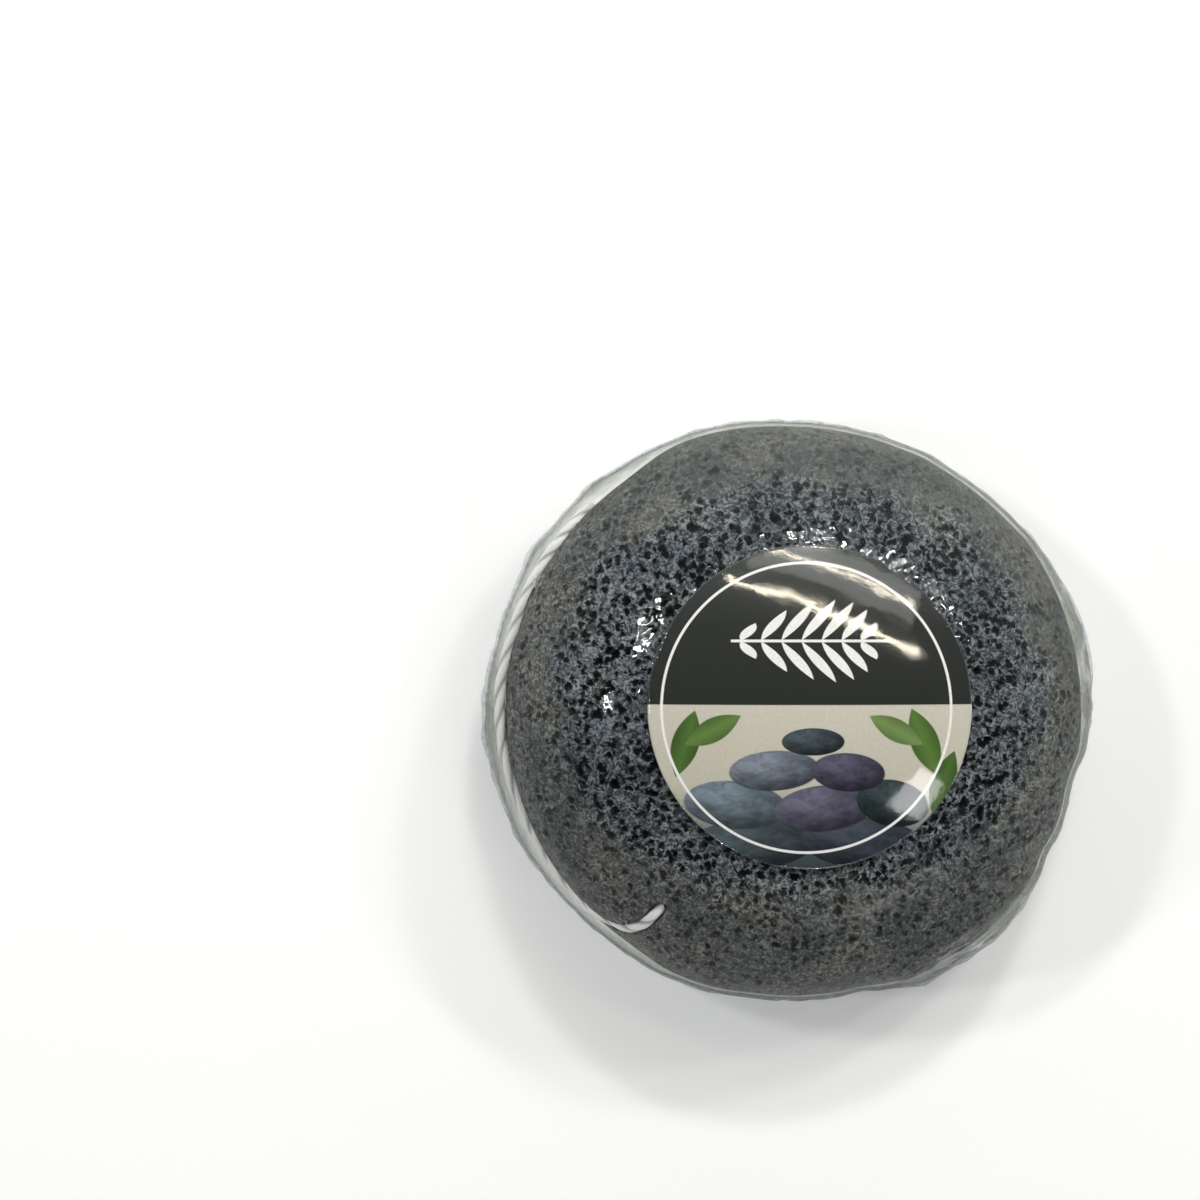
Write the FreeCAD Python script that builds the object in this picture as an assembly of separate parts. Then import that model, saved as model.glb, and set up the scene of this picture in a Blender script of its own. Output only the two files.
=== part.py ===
import FreeCAD, Part
import math
import os

# A half-ball charcoal konjac sponge in a clear shrink wrap, as it is sold.
# The sponge lies on its flat back with its dome up. A twisted cotton string is threaded
# through it near the edge, and its loop is tucked round the left side under the wrap.
# The wrap is two webs of thin film, front and back, welded together by a trim seal
# that runs round the widest plane. A round sticker sits on the front web.
# Units are millimetres. +Z is up, +Y is towards the top of the sticker, and the origin
# is the middle of the wrap's flat back.

# Sponge: a dome with a flat back, a rounded rim and a crown that the tight film has flattened.
sponge_width = 75.0
sponge_height = 39.4
rim_height = 12.0
rim_reach = 10.5
crown_curve_radius = 75.0
shoulder_reach = 15.0
rim_fullness_share = 0.55
shoulder_side_share = 0.50
shoulder_top_share = 0.55

# Shrink wrap. Real film is about 0.03 thick; this is the thinnest wall that meshes well.
film_thickness = 0.15
film_gap = 0.40
back_corner_reach = 6.55
back_corner_share = 0.75
ear_standoff = 2.35
ear_fade_shares = (1.0, 0.80, 0.46, 0.16, 0.03)
# How far the film stands off round the rim, every 15 degrees from +X towards +Y,
# as shares of ear_standoff. The ears of the wrap are at 15, 180 and 310 degrees.
ear_shares = (
    0.86, 1.00, 0.66, 0.38, 0.20, 0.13, 0.14, 0.36, 0.47, 0.57, 0.66, 0.66,
    0.91, 0.74, 0.52, 0.33, 0.28, 0.28, 0.16, 0.28, 0.86, 1.00, 0.62, 0.25,
)

# Trim seal: the flat weld where the two webs meet.
seal_height = 0.50
seal_reach = 0.30

# Sticker: adhesive, printed face and clear laminate, each thicker than the real layer.
label_width = 40.4
label_layer = 0.12
label_seat_gap = 0.06
label_shift_x = 1.14
label_shift_y = 1.39

# String: two-ply twisted cotton, pressed into the sponge by the film.
string_width = 1.6
string_seat_gap = 0.10
bend_share = 0.45
groove_stretch_corners = 7
# The string's centre line, from the knot's upper face round the far bend of the loop, along the
# left flank to the hole in the dome, down through the sponge, and back under the rim to the knot.
string_route = (
    (-31.69, 16.29, 4.60), (-30.71, 18.59, 4.60), (-28.90, 21.20, 4.40), (-26.72, 23.97, 4.40),
    (-25.86, 26.67, 7.10), (-26.34, 27.16, 10.80), (-28.20, 25.30, 13.40), (-30.70, 22.20, 13.70),
    (-32.90, 19.20, 13.70), (-35.10, 14.90, 13.50), (-36.60, 10.40, 13.40), (-37.90, 6.00, 13.30),
    (-38.50, 1.20, 13.20), (-38.20, -4.00, 13.20), (-36.90, -9.10, 13.30), (-34.80, -14.20, 13.60),
    (-32.20, -18.90, 14.10), (-28.90, -23.30, 15.20), (-25.60, -26.10, 17.20), (-22.75, -27.65, 20.35),
    (-20.40, -27.60, 24.30), (-18.65, -26.15, 28.20), (-17.10, -24.00, 30.95), (-15.50, -21.70, 28.60),
    (-16.00, -21.40, 24.90), (-17.40, -21.50, 20.00), (-19.30, -21.90, 14.20), (-20.50, -22.50, 8.40),
    (-22.20, -22.60, 4.60), (-24.90, -22.00, 3.00), (-27.80, -20.60, 3.50), (-30.70, -18.10, 4.10),
    (-33.10, -13.30, 4.40), (-34.80, -7.90, 4.30), (-35.60, -2.50, 4.40), (-35.60, 3.30, 4.50),
    (-34.69, 9.21, 4.60), (-33.71, 11.51, 4.60),
)

# Knot: three turns round the joined ends, and the two cut ends that leave it.
knot_end_gap = 0.005
knot_turn_radius = 0.95
knot_turn_pitch = 1.25
knot_turn_tilt_deg = 10.0
knot_turns = 3
long_tail_route = (
    (-32.70, 13.90, 4.60), (-33.00, 13.90, 8.00), (-32.70, 14.30, 11.60), (-32.85, 15.40, 14.60),
    (-33.10, 17.30, 16.80),
)
short_tail_route = (
    (-32.70, 13.90, 4.60), (-32.30, 12.60, 7.00), (-33.00, 10.20, 7.60), (-33.70, 7.20, 7.40),
)

# The flanks of the dome follow from the sizes above.
sponge_radius = sponge_width / 2
back_flat_radius = sponge_radius - rim_reach
crown_zone_radius = sponge_radius - shoulder_reach
back_z = film_thickness
widest_z = back_z + rim_height
top_z = back_z + sponge_height
crown_centre_z = top_z - crown_curve_radius
crown_slope = math.asin(crown_zone_radius / crown_curve_radius)
crown_edge_z = crown_centre_z + crown_curve_radius * math.cos(crown_slope)
seal_top_z = widest_z + seal_height / 2
seal_bottom_z = widest_z - seal_height / 2
string_radius = string_width / 2
string_first = FreeCAD.Vector(*string_route[0])
string_last = FreeCAD.Vector(*string_route[-1])
knot_centre = (string_first + string_last) / 2
knot_length = string_first.distanceToPoint(string_last) - 2 * knot_end_gap

X_AXIS = FreeCAD.Vector(1, 0, 0)
Y_AXIS = FreeCAD.Vector(0, 1, 0)
Z_AXIS = FreeCAD.Vector(0, 0, 1)
ORIGIN = FreeCAD.Vector(0, 0, 0)


def at(radius, z):
    """A point of a half section: radius along +X, height along +Z."""
    return FreeCAD.Vector(radius, 0, z)


def bezier(points):
    """A Bezier curve through its first and last point, drawn towards the ones between."""
    curve = Part.BezierCurve()
    curve.setPoles(points)
    return curve


def shoulder_curve():
    """The dome's flank, from the edge of the crown down to the widest plane."""
    drop = crown_edge_z - widest_z
    lead = shoulder_top_share * shoulder_reach
    return bezier([
        at(crown_zone_radius, crown_edge_z),
        at(crown_zone_radius + lead, crown_edge_z - lead * math.tan(crown_slope)),
        at(sponge_radius, widest_z + shoulder_side_share * drop),
        at(sponge_radius, widest_z),
    ])


def rim_curve():
    """The rounded rim, from the widest plane in to the flat back."""
    return bezier([
        at(sponge_radius, widest_z),
        at(sponge_radius, widest_z - rim_fullness_share * rim_height),
        at(back_flat_radius + rim_fullness_share * rim_reach, back_z),
        at(back_flat_radius, back_z),
    ])


def crown_point(angle, radius):
    """A point on a sphere about the crown's centre, at an angle from straight up."""
    return at(radius * math.sin(angle), crown_centre_z + radius * math.cos(angle))


def revolved(edges):
    """A full turn of a closed half section about the Z axis."""
    face = Part.Face(Part.Wire(edges))
    return face.revolve(ORIGIN, Z_AXIS, 360)


def offset_point(curve, share, offset):
    """A point that stands off a flank by an offset along its outward normal, as radius and height."""
    first, last = curve.FirstParameter, curve.LastParameter
    value = first + share * (last - first)
    point = curve.value(value)
    along = curve.tangent(value)[0]
    outward = FreeCAD.Vector(-along.z, 0, along.x)
    if outward.x < 0:
        outward = -outward
    return point.x + offset * outward.x, point.z + offset * outward.z


def ring_wire(radius, z, standoff=0.0):
    """A closed smooth outline at one height: a circle plus the film's standoff at each angle."""
    points = []
    count = len(ear_shares)
    for index, share in enumerate(ear_shares):
        angle = 2 * math.pi * index / count
        reach = radius + standoff * share
        points.append(FreeCAD.Vector(reach * math.cos(angle), reach * math.sin(angle), z))
    curve = Part.BSplineCurve()
    curve.interpolate(Points=points, PeriodicFlag=True)
    return Part.Wire([curve.toShape()])


def smooth_solid(wires):
    """One smooth solid through a stack of outlines, with flat ends."""
    solid = Part.makeLoft(wires, True, False, False)
    if solid.Volume < 0:
        solid.reverse()
    return solid


def front_wrap_solid(offset):
    """The whole space under a film that stands off the dome by an offset, above the seal."""
    shoulder = shoulder_curve()
    wires = [ring_wire(sponge_radius + offset, seal_top_z, ear_standoff)]
    rows = len(ear_fade_shares)
    for row in range(1, rows + 1):
        radius, z = offset_point(shoulder, 1 - row / rows, offset)
        fade = ear_fade_shares[row] if row < rows else 0.0
        wires.append(ring_wire(radius, z, ear_standoff * fade))
    crown_share_steps = (0.84, 0.68, 0.52, 0.36, 0.20, 0.08)
    for share in crown_share_steps:
        point = crown_point(crown_slope * share, crown_curve_radius + offset)
        wires.append(ring_wire(point.x, point.z))
    return smooth_solid(wires)


def back_wrap_solid(inset):
    """The whole space inside a back web whose wall lies an inset within its outer face."""
    outer_radius = sponge_radius + film_gap + film_thickness
    floor_radius = outer_radius - back_corner_reach
    wall = bezier([
        at(outer_radius, seal_bottom_z),
        at(outer_radius, seal_bottom_z * (1 - back_corner_share)),
        at(floor_radius + back_corner_share * back_corner_reach, 0),
        at(floor_radius, 0),
    ])
    wires = [ring_wire(outer_radius - inset, seal_bottom_z, ear_standoff)]
    row_shares = (0.25, 0.50, 0.75, 0.92)
    for share in row_shares:
        radius, z = offset_point(wall, share, -inset)
        wires.append(ring_wire(radius, z, ear_standoff * (1 - share)))
    wires.append(ring_wire(floor_radius - inset, inset))
    return smooth_solid(wires)


def tube(points, radius):
    """A round tube along straight runs joined by tangent arcs, with the arcs' radii and its length."""
    corners = [FreeCAD.Vector(*p) for p in points]
    edges, radii = [], []
    start = corners[0]
    for before, corner, after in zip(corners, corners[1:], corners[2:]):
        into, out_of = corner - before, after - corner
        shorter = min(into.Length, out_of.Length)
        half_turn = into.getAngle(out_of) / 2
        setback = bend_share * shorter
        radii.append(setback / math.tan(half_turn))
        into.normalize()
        out_of.normalize()
        first = corner - into * setback
        last = corner + out_of * setback
        inward = out_of - into
        inward.normalize()
        rise = radii[-1] * (1 / math.cos(half_turn) - 1)
        middle = corner + inward * rise
        edges.append(Part.LineSegment(start, first).toShape())
        edges.append(Part.Arc(first, middle, last).toShape())
        start = last
    edges.append(Part.LineSegment(start, corners[-1]).toShape())
    path = Part.Wire(edges)
    section = Part.Wire([Part.Circle(corners[0], corners[1] - corners[0], radius).toShape()])
    solid = path.makePipeShell([section], True, False)
    return solid, radii, path.Length


def report_tube(name, solid, radii, length, radius):
    """Prints what a string's tube measures, beside what its length says it should hold."""
    expected = math.pi * radius ** 2 * length
    print(f"{name}: length {length:.1f}, volume {solid.Volume:.2f}, section times length {expected:.2f}")
    print(f"{name}: bend radii {[round(r, 1) for r in radii]}")


def make_string():
    solid, radii, length = tube(string_route, string_radius)
    report_tube("hanging_string", solid, radii, length, string_radius)
    return solid


def knot_axis():
    """The knot lies in line with the string's two ends."""
    axis = string_last - string_first
    axis.normalize()
    return axis


def make_knot():
    """Turns of string round a core, with a long and a short cut end."""
    axis = knot_axis()
    start = knot_centre - axis * (knot_length / 2)
    knot = Part.makeCylinder(string_radius, knot_length, start, axis)
    for turn in range(knot_turns):
        place = knot_centre + axis * (knot_turn_pitch * (turn - (knot_turns - 1) / 2))
        ring = Part.makeTorus(knot_turn_radius, string_radius, place, axis)
        ring.rotate(place, Z_AXIS, knot_turn_tilt_deg)
        knot = knot.fuse(ring)
    for name, route in (("long_tail", long_tail_route), ("short_tail", short_tail_route)):
        solid, radii, length = tube(route, string_radius)
        report_tube(name, solid, radii, length, string_radius)
        knot = knot.fuse(solid)
    return knot.removeSplitter()


def stretches(route):
    """A long route as shorter ones, each of which shares one run with the next."""
    pieces = []
    for first in range(0, len(route) - 2, groove_stretch_corners):
        pieces.append(route[first:first + groove_stretch_corners + 2])
    return pieces


def string_groove():
    """The space that the string, its knot and its tails press out of the sponge."""
    radius = string_radius + string_seat_gap
    routes = stretches(string_route) + [long_tail_route, short_tail_route]
    grooves = [tube(route, radius)[0] for route in routes]
    axis = knot_axis()
    length = knot_length + 2 * string_seat_gap
    start = knot_centre - axis * (length / 2)
    grooves.append(Part.makeCylinder(knot_turn_radius + radius + string_seat_gap, length, start, axis))
    return grooves


def make_sponge():
    """The sponge's own dome, with the string's hole and groove pressed into it."""
    top = at(0, top_z)
    crown_middle = crown_point(crown_slope / 2, crown_curve_radius)
    body = revolved([
        Part.LineSegment(at(0, back_z), at(back_flat_radius, back_z)).toShape(),
        rim_curve().toShape(),
        shoulder_curve().toShape(),
        Part.Arc(at(crown_zone_radius, crown_edge_z), crown_middle, top).toShape(),
        Part.LineSegment(top, at(0, back_z)).toShape(),
    ])
    for groove in string_groove():
        body = body.cut(groove)
    return body


def make_front_web():
    return front_wrap_solid(film_gap + film_thickness).cut(front_wrap_solid(film_gap))


def make_back_web():
    return back_wrap_solid(0).cut(back_wrap_solid(film_thickness))


def make_trim_seal():
    """The flat weld between the webs: an outline drawn up from one web's edge to the other's."""
    inner_radius = sponge_radius + film_gap
    outer_radius = inner_radius + film_thickness + seal_reach
    rings = []
    for radius in (outer_radius, inner_radius):
        face = Part.Face(ring_wire(radius, seal_bottom_z, ear_standoff))
        rings.append(face.extrude(Z_AXIS * seal_height))
    return rings[0].cut(rings[1])


def label_disc(layer):
    """One layer of the sticker: a round patch of the crown's own curve, off its middle."""
    inner = crown_curve_radius + film_gap + film_thickness + label_seat_gap + layer * label_layer
    outer = inner + label_layer
    edge = math.asin(label_width / 2 / inner)
    disc = revolved([
        Part.Arc(crown_point(0, outer), crown_point(edge / 2, outer), crown_point(edge, outer)).toShape(),
        Part.LineSegment(crown_point(edge, outer), crown_point(edge, inner)).toShape(),
        Part.Arc(crown_point(edge, inner), crown_point(edge / 2, inner), crown_point(0, inner)).toShape(),
        Part.LineSegment(crown_point(0, inner), crown_point(0, outer)).toShape(),
    ])
    centre = FreeCAD.Vector(0, 0, crown_centre_z)
    disc.rotate(centre, Y_AXIS, math.degrees(math.asin(label_shift_x / inner)))
    disc.rotate(centre, X_AXIS, -math.degrees(math.asin(label_shift_y / inner)))
    return disc


parts = {
    "sponge_body": make_sponge(),
    "hanging_string": make_string(),
    "string_knot": make_knot(),
    "front_film_web": make_front_web(),
    "back_film_web": make_back_web(),
    "trim_seal": make_trim_seal(),
    "sticker_adhesive": label_disc(0),
    "sticker_face": label_disc(1),
    "sticker_laminate": label_disc(2),
}

os.makedirs("parts", exist_ok=True)
for name, shape in parts.items():
    shape.exportStep(f"parts/{name}.step")
    box = shape.BoundBox
    print(f"{name}: {len(shape.Solids)} solid, valid {shape.isValid()}, volume {shape.Volume:.1f}, "
          f"x {box.XMin:.2f} to {box.XMax:.2f}, y {box.YMin:.2f} to {box.YMax:.2f}, "
          f"z {box.ZMin:.2f} to {box.ZMax:.2f}")
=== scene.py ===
# %% [markdown]
# # A charcoal konjac sponge in its shrink wrap
# A half-ball sponge lies on its flat back under a tight skin of clear film. The engineering
# model gives the true sizes and the joints. This script gives each piece its looks: open pores,
# film with creases, a glossy sticker and a string of twisted cotton.

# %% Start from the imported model
import bpy
import numpy as np
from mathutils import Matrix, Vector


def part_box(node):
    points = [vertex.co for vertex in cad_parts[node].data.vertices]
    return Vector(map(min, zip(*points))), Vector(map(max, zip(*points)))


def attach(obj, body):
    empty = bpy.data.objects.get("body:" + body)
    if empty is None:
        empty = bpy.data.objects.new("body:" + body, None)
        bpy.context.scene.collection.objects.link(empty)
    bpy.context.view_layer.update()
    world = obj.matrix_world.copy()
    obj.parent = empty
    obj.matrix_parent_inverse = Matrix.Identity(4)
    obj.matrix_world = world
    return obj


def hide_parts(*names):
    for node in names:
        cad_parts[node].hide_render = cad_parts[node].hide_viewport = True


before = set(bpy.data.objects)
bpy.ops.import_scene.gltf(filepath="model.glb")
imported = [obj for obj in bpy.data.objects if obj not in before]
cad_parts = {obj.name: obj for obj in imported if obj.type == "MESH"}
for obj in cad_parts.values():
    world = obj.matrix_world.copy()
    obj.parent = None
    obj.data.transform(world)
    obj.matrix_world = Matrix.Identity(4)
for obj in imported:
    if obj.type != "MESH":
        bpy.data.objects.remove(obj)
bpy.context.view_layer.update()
print("nodes:", sorted(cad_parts))

# %% [markdown]
# ## Sizes
# Every size here is in millimetres, and a mesh is scaled to metres when it is made. The boxes of
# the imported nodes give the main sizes. The rest are the curves of the sponge and its film, the
# same ones that the engineering model is drawn with.

# %% Main sizes
MM = 0.001
TURN = 2 * np.pi

sponge_high = np.array(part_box("sponge_body")[1]) / MM
seal_low, seal_high = (np.array(corner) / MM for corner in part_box("trim_seal"))
sponge_radius, top_z = sponge_high[0], sponge_high[2]
film_thickness, film_gap = 0.15, 0.40
back_z = film_thickness
widest_z = (seal_low[2] + seal_high[2]) / 2
rim_reach, rim_fullness = 10.5, 0.55
shoulder_reach, shoulder_side, shoulder_top = 15.0, 0.50, 0.55
crown_curve_radius = 75.0
print("sponge radius", round(sponge_radius, 2), "height", round(top_z - back_z, 2))

# %% [markdown]
# ## Camera
# The camera looks straight down at the dome from about 40 cm. It stands left of the sponge
# and a little behind it, so the sponge lies right of the middle and shows more of its left flank.
# A long lens frames 160 mm at the height of the seal.

# %% Camera
frame_width = 160.0
camera_height = 398.0
camera_place = np.array([-25.07, 14.67, widest_z + camera_height])
camera_data = bpy.data.cameras.new("camera")
camera_data.sensor_width = 36.0
camera_data.lens = camera_data.sensor_width * camera_height / frame_width
camera_data.clip_start, camera_data.clip_end = 0.01, 20.0
camera = bpy.data.objects.new("camera", camera_data)
camera.location = camera_place * MM
bpy.context.scene.collection.objects.link(camera)
bpy.context.scene.camera = camera
print("lens", round(camera_data.lens, 1), "mm")

# %% [markdown]
# ## Repeatable noise
# Yarn, foam and creased film are irregular, but the script must give the same shapes on every
# run. So the noise comes from a hash: each cell of a lattice has whole numbers for its place,
# and mixing their bits gives a number that looks random and never changes.

# %% Hash and smooth noise
def hashed(cells, channel):
    """A number from 0 to 1 for each lattice cell: its three whole numbers times large odd
    factors, then bits shifted and multiplied until they are well mixed."""
    i = cells.astype(np.int64).astype(np.uint32)
    mixed = i[..., 0] * np.uint32(73856093) ^ i[..., 1] * np.uint32(19349663)
    mixed = mixed ^ i[..., 2] * np.uint32(83492791) ^ np.uint32(channel * 2654435761 % 2 ** 32)
    for shift, factor in ((15, 2246822519), (13, 3266489917), (16, 668265263)):
        mixed = (mixed ^ (mixed >> np.uint32(shift))) * np.uint32(factor)
    return (mixed ^ (mixed >> np.uint32(15))).astype(np.float64) / 2 ** 32


def noise(points, channel=0):
    """Smooth noise from -1 to 1: the hashed numbers at a cell's eight corners, blended by an
    S-curve along each axis. Points are in units of one cell."""
    cell = np.floor(points)
    f = points - cell
    f = f * f * (3 - 2 * f)
    total = np.zeros(points.shape[:-1])
    for corner in np.ndindex(2, 2, 2):
        weight = np.prod(np.where(corner, f, 1 - f), axis=-1)
        total += weight * hashed(cell + corner, channel)
    return total * 2 - 1


def smooth_step(low, high, value):
    """0 below low, 1 above high, and the S-curve 3t^2 - 2t^3 between them."""
    t = np.clip((value - low) / (high - low), 0, 1)
    return t * t * (3 - 2 * t)


print("a few hashed numbers:", np.round(hashed(np.eye(3), 1), 3))

# %% [markdown]
# ## Meshes from grids
# Each piece is a surface: a grid of points worked out by a formula, whole arrays at a time.
# A primitive pushed into shape would do too, but a formula says exactly where each point lies,
# and the same formula gives the film its distance from the sponge.

# %% Grid helpers
def quads_of(rows, columns, wraps, first=0):
    """The corners of a grid's cells: a point, the next in its row, and the two above them."""
    i, j = np.meshgrid(np.arange(rows - 1), np.arange(columns if wraps else columns - 1), indexing="ij")
    right = (j + 1) % columns
    corners = [i * columns + j, i * columns + right, (i + 1) * columns + right, (i + 1) * columns + j]
    return first + np.stack(corners, -1).reshape(-1, 4)


def fan_of(ring, pole):
    """Triangles that close a ring of points to one pole."""
    return np.stack([ring, np.roll(ring, -1), np.full(len(ring), pole)], 1)


def make_mesh(name, points, quads, triangles, uv=None):
    """A smooth-shaded object at the origin, from points in millimetres and faces' corners."""
    loops = np.concatenate([quads.ravel(), triangles.ravel()])
    sizes = np.concatenate([np.full(len(quads), 4), np.full(len(triangles), 3)])
    mesh = bpy.data.meshes.new(name)
    mesh.vertices.add(len(points))
    mesh.vertices.foreach_set("co", (np.asarray(points) * MM).ravel().astype(np.float32))
    mesh.loops.add(len(loops))
    mesh.loops.foreach_set("vertex_index", loops.astype(np.int32))
    mesh.polygons.add(len(sizes))
    starts = np.concatenate([[0], np.cumsum(sizes)[:-1]])
    mesh.polygons.foreach_set("loop_start", starts.astype(np.int32))
    mesh.polygons.foreach_set("use_smooth", np.ones(len(sizes), bool))
    if uv is not None:
        # Where a quad closes a tube, its corners at 0 are the map's other end, 1.
        corners = uv[loops]
        across = corners[:quads.size].reshape(-1, 4, 2)[..., 0]
        across += across.max(1, keepdims=True) - across > 0.5
        layer = mesh.uv_layers.new(name="along_strand")
        layer.data.foreach_set("uv", corners.ravel().astype(np.float32))
    mesh.update(calc_edges=True)
    mesh.validate()
    piece = bpy.data.objects.new(name, mesh)
    bpy.context.scene.collection.objects.link(piece)
    print(name, "points", len(points), "triangles", int((sizes - 2).sum()))
    return piece


def set_attribute(piece, name, values):
    """Stores one number per point, for the material to read."""
    attribute = piece.data.attributes.new(name, "FLOAT", "POINT")
    attribute.data.foreach_set("value", np.asarray(values).ravel().astype(np.float32))


# %% [markdown]
# ## The string's route
# The hanging string runs up from its knot, along the left flank, through the sponge near its
# edge, and back under the rim. Its points are the route of the engineering model, used as the
# control points of one smooth NURBS curve.

# %% Routes
string_width = 1.6
string_route = (
    (-31.69, 16.29, 4.60), (-30.71, 18.59, 4.60), (-28.90, 21.20, 4.40), (-26.72, 23.97, 4.40),
    (-25.86, 26.67, 7.10), (-26.34, 27.16, 10.80), (-28.20, 25.30, 13.40), (-30.70, 22.20, 13.70),
    (-32.90, 19.20, 13.70), (-35.10, 14.90, 13.50), (-36.60, 10.40, 13.40), (-37.90, 6.00, 13.30),
    (-38.50, 1.20, 13.20), (-38.20, -4.00, 13.20), (-36.90, -9.10, 13.30), (-34.80, -14.20, 13.60),
    (-32.20, -18.90, 14.10), (-28.90, -23.30, 15.20), (-25.60, -26.10, 17.20), (-22.75, -27.65, 20.35),
    (-20.40, -27.60, 24.30), (-18.65, -26.15, 28.20), (-17.10, -24.00, 30.95), (-15.50, -21.70, 28.60),
    (-16.00, -21.40, 24.90), (-17.40, -21.50, 20.00), (-19.30, -21.90, 14.20), (-20.50, -22.50, 8.40),
    (-22.20, -22.60, 4.60), (-24.90, -22.00, 3.00), (-27.80, -20.60, 3.50), (-30.70, -18.10, 4.10),
    (-33.10, -13.30, 4.40), (-34.80, -7.90, 4.30), (-35.60, -2.50, 4.40), (-35.60, 3.30, 4.50),
    (-34.69, 9.21, 4.60), (-33.71, 11.51, 4.60),
)
long_tail_route = (
    (-32.70, 13.90, 4.60), (-33.00, 13.90, 8.00), (-32.70, 14.30, 11.60), (-32.85, 15.40, 14.60),
    (-33.10, 17.30, 16.80),
)
short_tail_route = (
    (-32.70, 13.90, 4.60), (-32.30, 12.60, 7.00), (-33.00, 10.20, 7.60), (-33.70, 7.20, 7.40),
)
print("route points:", len(string_route), "and", len(long_tail_route) + len(short_tail_route))

# %% Smooth line through a route
def smooth_line(route, spacing=0.15):
    """Even points along the NURBS spline of order 3 whose control points are the route, and how
    far along it each one lies."""
    curve = bpy.data.curves.new("route", "CURVE")
    curve.dimensions = "3D"
    curve.resolution_u = 24
    spline = curve.splines.new("NURBS")
    spline.points.add(len(route) - 1)
    spline.points.foreach_set("co", np.column_stack([np.array(route), np.ones(len(route))]).ravel())
    spline.order_u = 3
    spline.use_endpoint_u = True
    guide = bpy.data.objects.new("route", curve)
    bpy.context.scene.collection.objects.link(guide)
    bpy.context.view_layer.update()
    mesh = bpy.data.meshes.new_from_object(guide)
    points = np.zeros(len(mesh.vertices) * 3)
    mesh.vertices.foreach_get("co", points)
    points = points.reshape(-1, 3)
    bpy.data.objects.remove(guide)
    bpy.data.curves.remove(curve)
    bpy.data.meshes.remove(mesh)
    reach = np.concatenate([[0], np.cumsum(np.linalg.norm(np.diff(points, axis=0), axis=1))])
    even = np.linspace(0, reach[-1], int(reach[-1] / spacing) + 1)
    return np.stack([np.interp(even, reach, points[:, axis]) for axis in range(3)], 1), even


string_line, string_reach = smooth_line(string_route)
print("string length", round(string_reach[-1], 1), "mm")

# %% [markdown]
# ## Twisted cotton
# The string is two plies of soft cotton, loosely twisted. A plain bevel on the curve would look
# like wire. So each ply is its own tube that winds round the centre line, and the two plies
# meet in a shallow groove that turns once in 9 mm.

# %% Strand of two plies
ply_pitch = 9.0
ply_share = 0.78


def frames_along(line):
    """Two directions square to a line at each of its points. The first is carried along from
    point to point, each time made square to the new tangent, so it never flips over."""
    tangent = np.gradient(line, axis=0)
    tangent /= np.linalg.norm(tangent, axis=1)[:, None]
    first = np.zeros_like(line)
    carried = np.cross(tangent[0], (0.3, 0.2, 1.0))
    for place, direction in enumerate(tangent):
        carried = carried - (carried @ direction) * direction
        carried /= np.linalg.norm(carried)
        first[place] = carried
    return first, np.cross(tangent, first)


def twisted_strand(line, reach, width, sides=14):
    """Two plies that wind round a line. A ply's centre circles the line at a radius that leaves
    the strand its width, once in each pitch, and its round section swells and thins a little
    with noise, as soft yarn does. Returns points, quads, end caps and UVs."""
    first, second = frames_along(line)
    ply_radius = width / 2 * ply_share
    wind_radius = width / 2 - ply_radius
    drift = noise(np.stack([reach / 9, reach * 0, reach * 0 + 5], 1))
    turns = reach / ply_pitch * TURN + 1.0 * drift
    around = np.arange(sides) / sides * TURN
    points, quads, caps, uvs, count = [], [], [], [], 0
    for ply in range(2):
        turn = turns + np.pi * ply
        centre = line + wind_radius * (np.cos(turn)[:, None] * first + np.sin(turn)[:, None] * second)
        swell = 1 + 0.09 * noise(np.stack([reach / 1.9, reach * 0 + ply * 9, reach * 0], 1), 3)
        angle = around[None, :] + turn[:, None]
        lumps = noise(np.stack([np.cos(angle) * 1.6 + ply * 7, np.sin(angle) * 1.6,
                                np.broadcast_to(reach[:, None] / 0.8, angle.shape)], -1), 4)
        radius = ply_radius * swell[:, None] * (1 + 0.08 * lumps)
        rings = centre[:, None] + radius[..., None] * (
            np.cos(angle)[..., None] * first[:, None] + np.sin(angle)[..., None] * second[:, None])
        rows = len(line)
        ends = count + rows * sides
        points += [rings.reshape(-1, 3), centre[[0, -1]]]
        quads.append(quads_of(rows, sides, True, count))
        caps.append(fan_of(count + np.arange(sides)[::-1], ends))
        caps.append(fan_of(count + (rows - 1) * sides + np.arange(sides), ends + 1))
        place = np.stack(np.broadcast_arrays(around[None, :] / TURN, reach[:, None] / 10), -1)
        uvs += [place.reshape(-1, 2), np.array([[0.5, 0], [0.5, reach[-1] / 10]])]
        count = ends + 2
    return [np.concatenate(part) for part in (points, quads, caps, uvs)]


def joined(*parts):
    """Several strands as one: their points in a row, and each one's faces counted on."""
    shifts = np.cumsum([0] + [len(part[0]) for part in parts[:-1]])
    return [
        np.concatenate([part[0] for part in parts]),
        np.concatenate([part[1] + shift for part, shift in zip(parts, shifts)]),
        np.concatenate([part[2] + shift for part, shift in zip(parts, shifts)]),
        np.concatenate([part[3] for part in parts]),
    ]


string = make_mesh("cotton_string", *twisted_strand(string_line, string_reach, string_width))

# %% [markdown]
# The knot joins the string's two ends: three tight turns of the same cotton round both ends, with
# a long and a short cut end. One route carries it, in along the long end, round a helix and out
# along the short one. Loose fibres stand out of both cuts.

# %% Knot
knot_turns, knot_turn_radius, knot_turn_pitch = 3, 0.95, 1.25
knot_start, knot_end = np.array(string_route[0]), np.array(string_route[-1])
knot_centre = (knot_start + knot_end) / 2
knot_axis = (knot_end - knot_start) / np.linalg.norm(knot_end - knot_start)
knot_side = np.cross(knot_axis, (0, 0, 1))

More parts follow.
